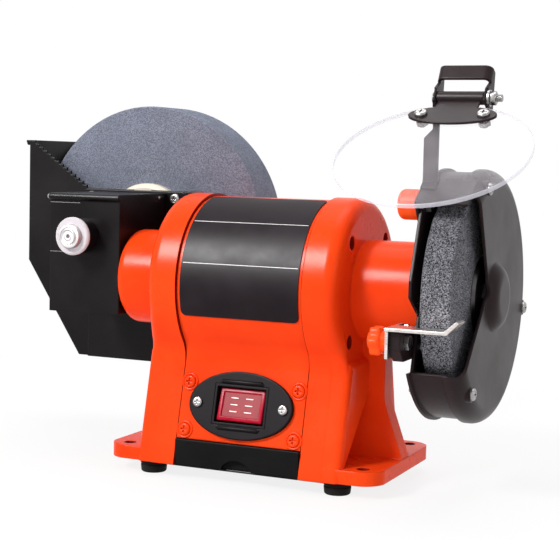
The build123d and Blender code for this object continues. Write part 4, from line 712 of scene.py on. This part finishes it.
# Visor strip and loop: one black coated strip, bent up from the deflector and folded at its head into
# a loop with two ears. The strip is the CAD arm cut above the hinge, and the loop has rounded bends.
tilt = radians(30)
hinge = Vector((0.149, -0.046, 0.268))
lean_up = Vector((0, sin(tilt), cos(tilt)))
lean_back = Vector((0, cos(tilt), -sin(tilt)))
ear_cut = 0.0045
loop_half = 0.018
loop_bend = 0.0048
loop_low, loop_high = 0.012, 0.022
loop_sheet = 0.002
ear_front, ear_top, ear_back = -0.005, 0.004, 0.01116
strip = bmesh.new()
strip.from_mesh(nodes["visor_arm"].data)
bmesh.ops.remove_doubles(strip, verts=strip.verts, dist=touching)
bmesh.ops.bisect_plane(strip, geom=whole(strip), dist=1e-7, plane_co=hinge + lean_up * ear_cut,
                       plane_no=lean_up, clear_outer=True)
bmesh.ops.holes_fill(strip, edges=[e for e in strip.edges if e.is_boundary])
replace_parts(piece("visor_strip", strip, "deflector", "black_sheet", guard_coat), "visor_arm")
loop = bmesh.new()
ear_line = [(ear_front, ear_cut), (0, loop_low), (0, loop_high), (ear_top, loop_high), (ear_back, ear_cut)]
ear = [loop.verts.new((-loop_half, back, up)) for back, up in ear_line]
loop.faces.new(ear)
ear_front_line = ear[1:3]
turn = bmesh.ops.spin(loop, geom=ear_front_line + [loop.edges.get(ear_front_line)],
                      cent=(loop_bend - loop_half, 0, 0), axis=(0, 0, 1), angle=pi / 2, steps=8)["geom_last"]
turn_edges = [part for part in turn if isinstance(part, bmesh.types.BMEdge)]
web = bmesh.ops.extrude_edge_only(loop, edges=turn_edges)["geom"]
bmesh.ops.translate(loop, vec=(loop_half - loop_bend, 0, 0), verts=verts_of(web))
bmesh.ops.mirror(loop, geom=whole(loop), axis="X", merge_dist=touching)
bmesh.ops.recalc_face_normals(loop, faces=loop.faces)
if sum(f.normal.y for f in loop.faces if abs(f.normal.y) > 0.9) > 0:
    bmesh.ops.reverse_faces(loop, faces=loop.faces)
bmesh.ops.solidify(loop, geom=loop.faces[:], thickness=loop_sheet)
bmesh.ops.transform(loop, matrix=stand_at(hinge, along_shaft, lean_back, lean_up), verts=loop.verts)
piece("visor_loop", loop, "deflector", "black_sheet", guard_coat)

# Visor bracket: an oval black plate screwed to the disc, its back edge rolled round the hinge bolt.
# It is bent from the same coated sheet as the strip.
dress(guard_coat, "visor_bracket")
dress(zinc, "visor_screws")
roll_half, roll_inner, roll_outer = 0.0156, 0.0029, 0.0044
rolled = turned([(-roll_half, roll_inner), (-roll_half, roll_outer), (roll_half, roll_outer),
                 (roll_half, roll_inner)], hinge, along_shaft, closed=True)
piece("rolled_edge", rolled, "visor", "black_sheet", guard_coat)

# Hinge bolt: zinc-plated steel through the strip's two ears, with a domed head on the left. A washer
# and a hexagon nut hold it on the right, where its thread shows.
bolt_radius, thread_root = 0.0025, 0.0021
thread_start, thread_step, thread_ridges = 0.0420, 0.0004, 4
thread = [(thread_start + thread_step * step, bolt_radius if step % 2 else thread_root)
          for step in range(2 * thread_ridges)]
nut_radius = 0.0047
nut_thick = 0.0040
nut_gap = 0.0014
nut_edge = 0.0005
bolt = turned([(-0.0014, 0), (-0.0013, 0.0020), (-0.0008, 0.0036), (0, 0.0042), (0, bolt_radius),
               (0.0360, bolt_radius), (0.0360, 0.0055), (0.0374, 0.0055), (0.0374, bolt_radius), *thread,
               (0.0452, 0.0019), (0.0452, 0)], hinge - along_shaft * loop_half, along_shaft)
nut_verts = bmesh.ops.create_circle(bolt, cap_ends=True, segments=6, radius=nut_radius)["verts"]
nut_verts = nut_verts + raised(bolt, [nut_verts[0].link_faces[0]], (0, 0, nut_thick))
nut_edges = list({edge for vert in nut_verts for edge in vert.link_edges})
bmesh.ops.recalc_face_normals(bolt, faces=list({face for vert in nut_verts for face in vert.link_faces}))
nut_place = stand_at(hinge + along_shaft * (loop_half + nut_gap), to_back, upward, along_shaft)
bmesh.ops.transform(bolt, matrix=nut_place, verts=nut_verts)
bmesh.ops.bevel(bolt, geom=nut_edges, offset=nut_edge, segments=2, profile=0.5, affect="EDGES", material=-1)
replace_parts(piece("hinge_bolt", bolt, "deflector", "zinc_steel", zinc), "visor_hinge_bolt")

# Visor disc: clear polycarbonate sheet, cut round and screwed under the bracket. A faint smear shows on
# its faces, and its cut edge is frosted and catches the light.
clear = finish("clear_sheet", dark=(240, 232, 244), light=(250, 244, 252), patch=60, rough=0.1,
               grain=300, depth=0.00001, edge=0.0002)
frosted = finish("frosted_edge", dark=(226, 222, 236), light=(240, 238, 246), patch=200, rough=0.4,
                 grain=900, depth=0.00002, edge=0.0002, Alpha=0.5)
clear_tree = clear.node_tree
clear_haze = add(clear_tree, "ShaderNodeMapRange", {"To Min": 0.055, "To Max": 0.085})
clear_smear = place(clear_tree, drift, Scale=35)
join(clear_tree,
     (clear_smear, "Mask", clear_haze, "Value"),
     (clear_haze, "Result", clear_tree.nodes["Principled BSDF"], "Alpha"))
disc_reach, disc_drop = 0.069, 0.0027
disc_out = Vector((0, -sin(tilt), cos(tilt)))
disc_away = Vector((0, -cos(tilt), -sin(tilt)))
disc_at = hinge + disc_away * disc_reach - disc_out * disc_drop
disc = turned([(-0.0015, 0), (-0.0015, 0.0610), (-0.0010, 0.0615), (0.0010, 0.0615), (0.0015, 0.0610),
               (0.0015, 0)], disc_at, disc_out, steps=160)
for face in disc.faces:
    if abs(face.normal.dot(disc_out)) < 0.9:
        face.material_index = 1
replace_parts(piece("visor_disc", disc, "visor", "clear_plastic", clear, frosted), "visor_lens")

# Inside the motor and the gear box: varnished copper windings on steel cores, a ground shaft with its worm
# and bearings, a capacitor in a plastic case, and a turned bush and a cut worm wheel, both bronze.
copper = finish("wound_copper", dark=(150, 76, 40), light=(190, 104, 60), patch=300, rough=0.4,
                grain=700, depth=0.0003, edge=0.001, Metallic=1.0)
bronze = finish("bush_bronze", dark=(150, 112, 60), light=(180, 140, 84), patch=120, rough=0.35,
                grain=900, depth=0.00003, edge=0.0004, Metallic=1.0)
dress(copper, "stator_windings")
dress(steel, "motor_shaft", "rotor_core", "stator_core", "bearings", "worm")
dress(drawer_plastic, "capacitor")
dress(bronze, "neck_bush", "worm_wheel")

# Floor and surround: a plain pale floor that keeps the machine's shadow, in an even white room.
# Camera, mirror and see-through rays meet white, and near the machine the floor's own shade shows through.
floor_bm = bmesh.new()
bmesh.ops.create_grid(floor_bm, x_segments=1, y_segments=1, size=6)
floor_mesh = bpy.data.meshes.new("floor")
floor_bm.to_mesh(floor_mesh)
floor_bm.free()
floor = bpy.data.objects.new("floor", floor_mesh)
bpy.context.scene.collection.objects.link(floor)


def seen_rays(tree):
    """1 for camera, mirror and see-through rays."""
    path = add(tree, "ShaderNodeLightPath")
    first = add(tree, "ShaderNodeMath", operation="MAXIMUM")
    second = add(tree, "ShaderNodeMath", operation="MAXIMUM")
    join(tree,
         (path, "Is Camera Ray", first, 0),
         (path, "Is Glossy Ray", first, 1),
         (first, "Value", second, 0),
         (path, "Is Transmission Ray", second, 1))
    return second


pale = bpy.data.materials.new("pale_floor")
pale.use_nodes = True
pale_tree = pale.node_tree
pale_shader = pale_tree.nodes["Principled BSDF"]
pale_shader.inputs["Base Color"].default_value = (0.85, 0.85, 0.85, 1)
pale_shader.inputs["Roughness"].default_value = 0.9
pale_glow = add(pale_tree, "ShaderNodeEmission")
pale_at = add(pale_tree, "ShaderNodeTexCoord")
pale_far = add(pale_tree, "ShaderNodeVectorMath", operation="LENGTH")
pale_fade = add(pale_tree, "ShaderNodeMapRange",
                {"From Min": 0.15, "From Max": 0.60, "To Min": 0.84, "To Max": 1.0},
                interpolation_type="SMOOTHSTEP")
pale_share = add(pale_tree, "ShaderNodeMath", operation="MULTIPLY")
pale_mix = add(pale_tree, "ShaderNodeMixShader")
join(pale_tree,
     (pale_at, "Object", pale_far, 0),
     (pale_far, "Value", pale_fade, "Value"),
     (seen_rays(pale_tree), "Value", pale_share, 0),
     (pale_fade, "Result", pale_share, 1),
     (pale_share, "Value", pale_mix, "Fac"),
     (pale_shader, "BSDF", pale_mix, 1),
     (pale_glow, "Emission", pale_mix, 2),
     (pale_mix, "Shader", pale_tree.nodes["Material Output"], "Surface"))
floor_mesh.materials.append(pale)

surround = bpy.data.worlds.new("studio")
bpy.context.scene.world = surround
surround.use_nodes = True
surround_tree = surround.node_tree
surround_back = surround_tree.nodes["Background"]
surround_back.inputs["Color"].default_value = (1, 1, 1, 1)
surround_level = add(surround_tree, "ShaderNodeMapRange", {"To Min": 0.5, "To Max": 1.0})
join(surround_tree,
     (seen_rays(surround_tree), "Value", surround_level, "Value"),
     (surround_level, "Result", surround_back, "Strength"))

# Lamps: a soft key from the front left, and weaker lamps beside and above. The sheen stands where the key
# does and is met by gloss alone, for highlights along the enamel without more light on the colours.
lamps = {"key": ((-0.9, -1.6, 1.5), 0.5, 36), "side": ((1.9, -0.6, 0.8), 0.5, 3),
         "top": ((0.0, 0.4, 1.9), 1.2, 16), "sheen": ((-0.9, -1.6, 1.5), 0.8, 150)}
for name, (lamp_at, size, power) in lamps.items():
    lamp_data = bpy.data.lights.new(name, "AREA")
    lamp_data.size = size
    lamp_data.energy = power
    lamp = bpy.data.objects.new(name, lamp_data)
    lamp.location = lamp_at
    lamp.visible_diffuse = name != "sheen"
    lamp.rotation_euler = (shaft - Vector(lamp_at)).to_track_quat("-Z", "Y").to_euler()
    bpy.context.scene.collection.objects.link(lamp)

# Camera: a little above the machine at its front right, turned and banked to the photograph's view.
# The image is taken to be 560 pixels square, with its optical centre slightly off the middle.
image_size = 560
focal_pixels = 1396.93
centre_right, centre_up = 1.81, 13.79
camera_at = 0.40717, -0.92315, 0.22562
yaw, pitch, bank = 0.410547, 0.076049, 0.023658
camera_data = bpy.data.cameras.new("camera")
camera_data.sensor_width = 36
camera_data.lens = focal_pixels / image_size * camera_data.sensor_width
camera_data.shift_x = -centre_right / image_size
camera_data.shift_y = -centre_up / image_size
camera_data.clip_end = 50
ahead = Vector((-sin(yaw) * cos(pitch), cos(yaw) * cos(pitch), -sin(pitch)))
level = Vector((cos(yaw), sin(yaw), 0))
upright = level.cross(ahead)
right = level * cos(bank) + upright * sin(bank)
above = upright * cos(bank) - level * sin(bank)
camera = bpy.data.objects.new("camera", camera_data)
camera.matrix_world = stand_at(camera_at, right, above, -ahead)
bpy.context.scene.collection.objects.link(camera)
bpy.context.scene.camera = camera
bpy.context.scene.view_settings.view_transform = "Standard"
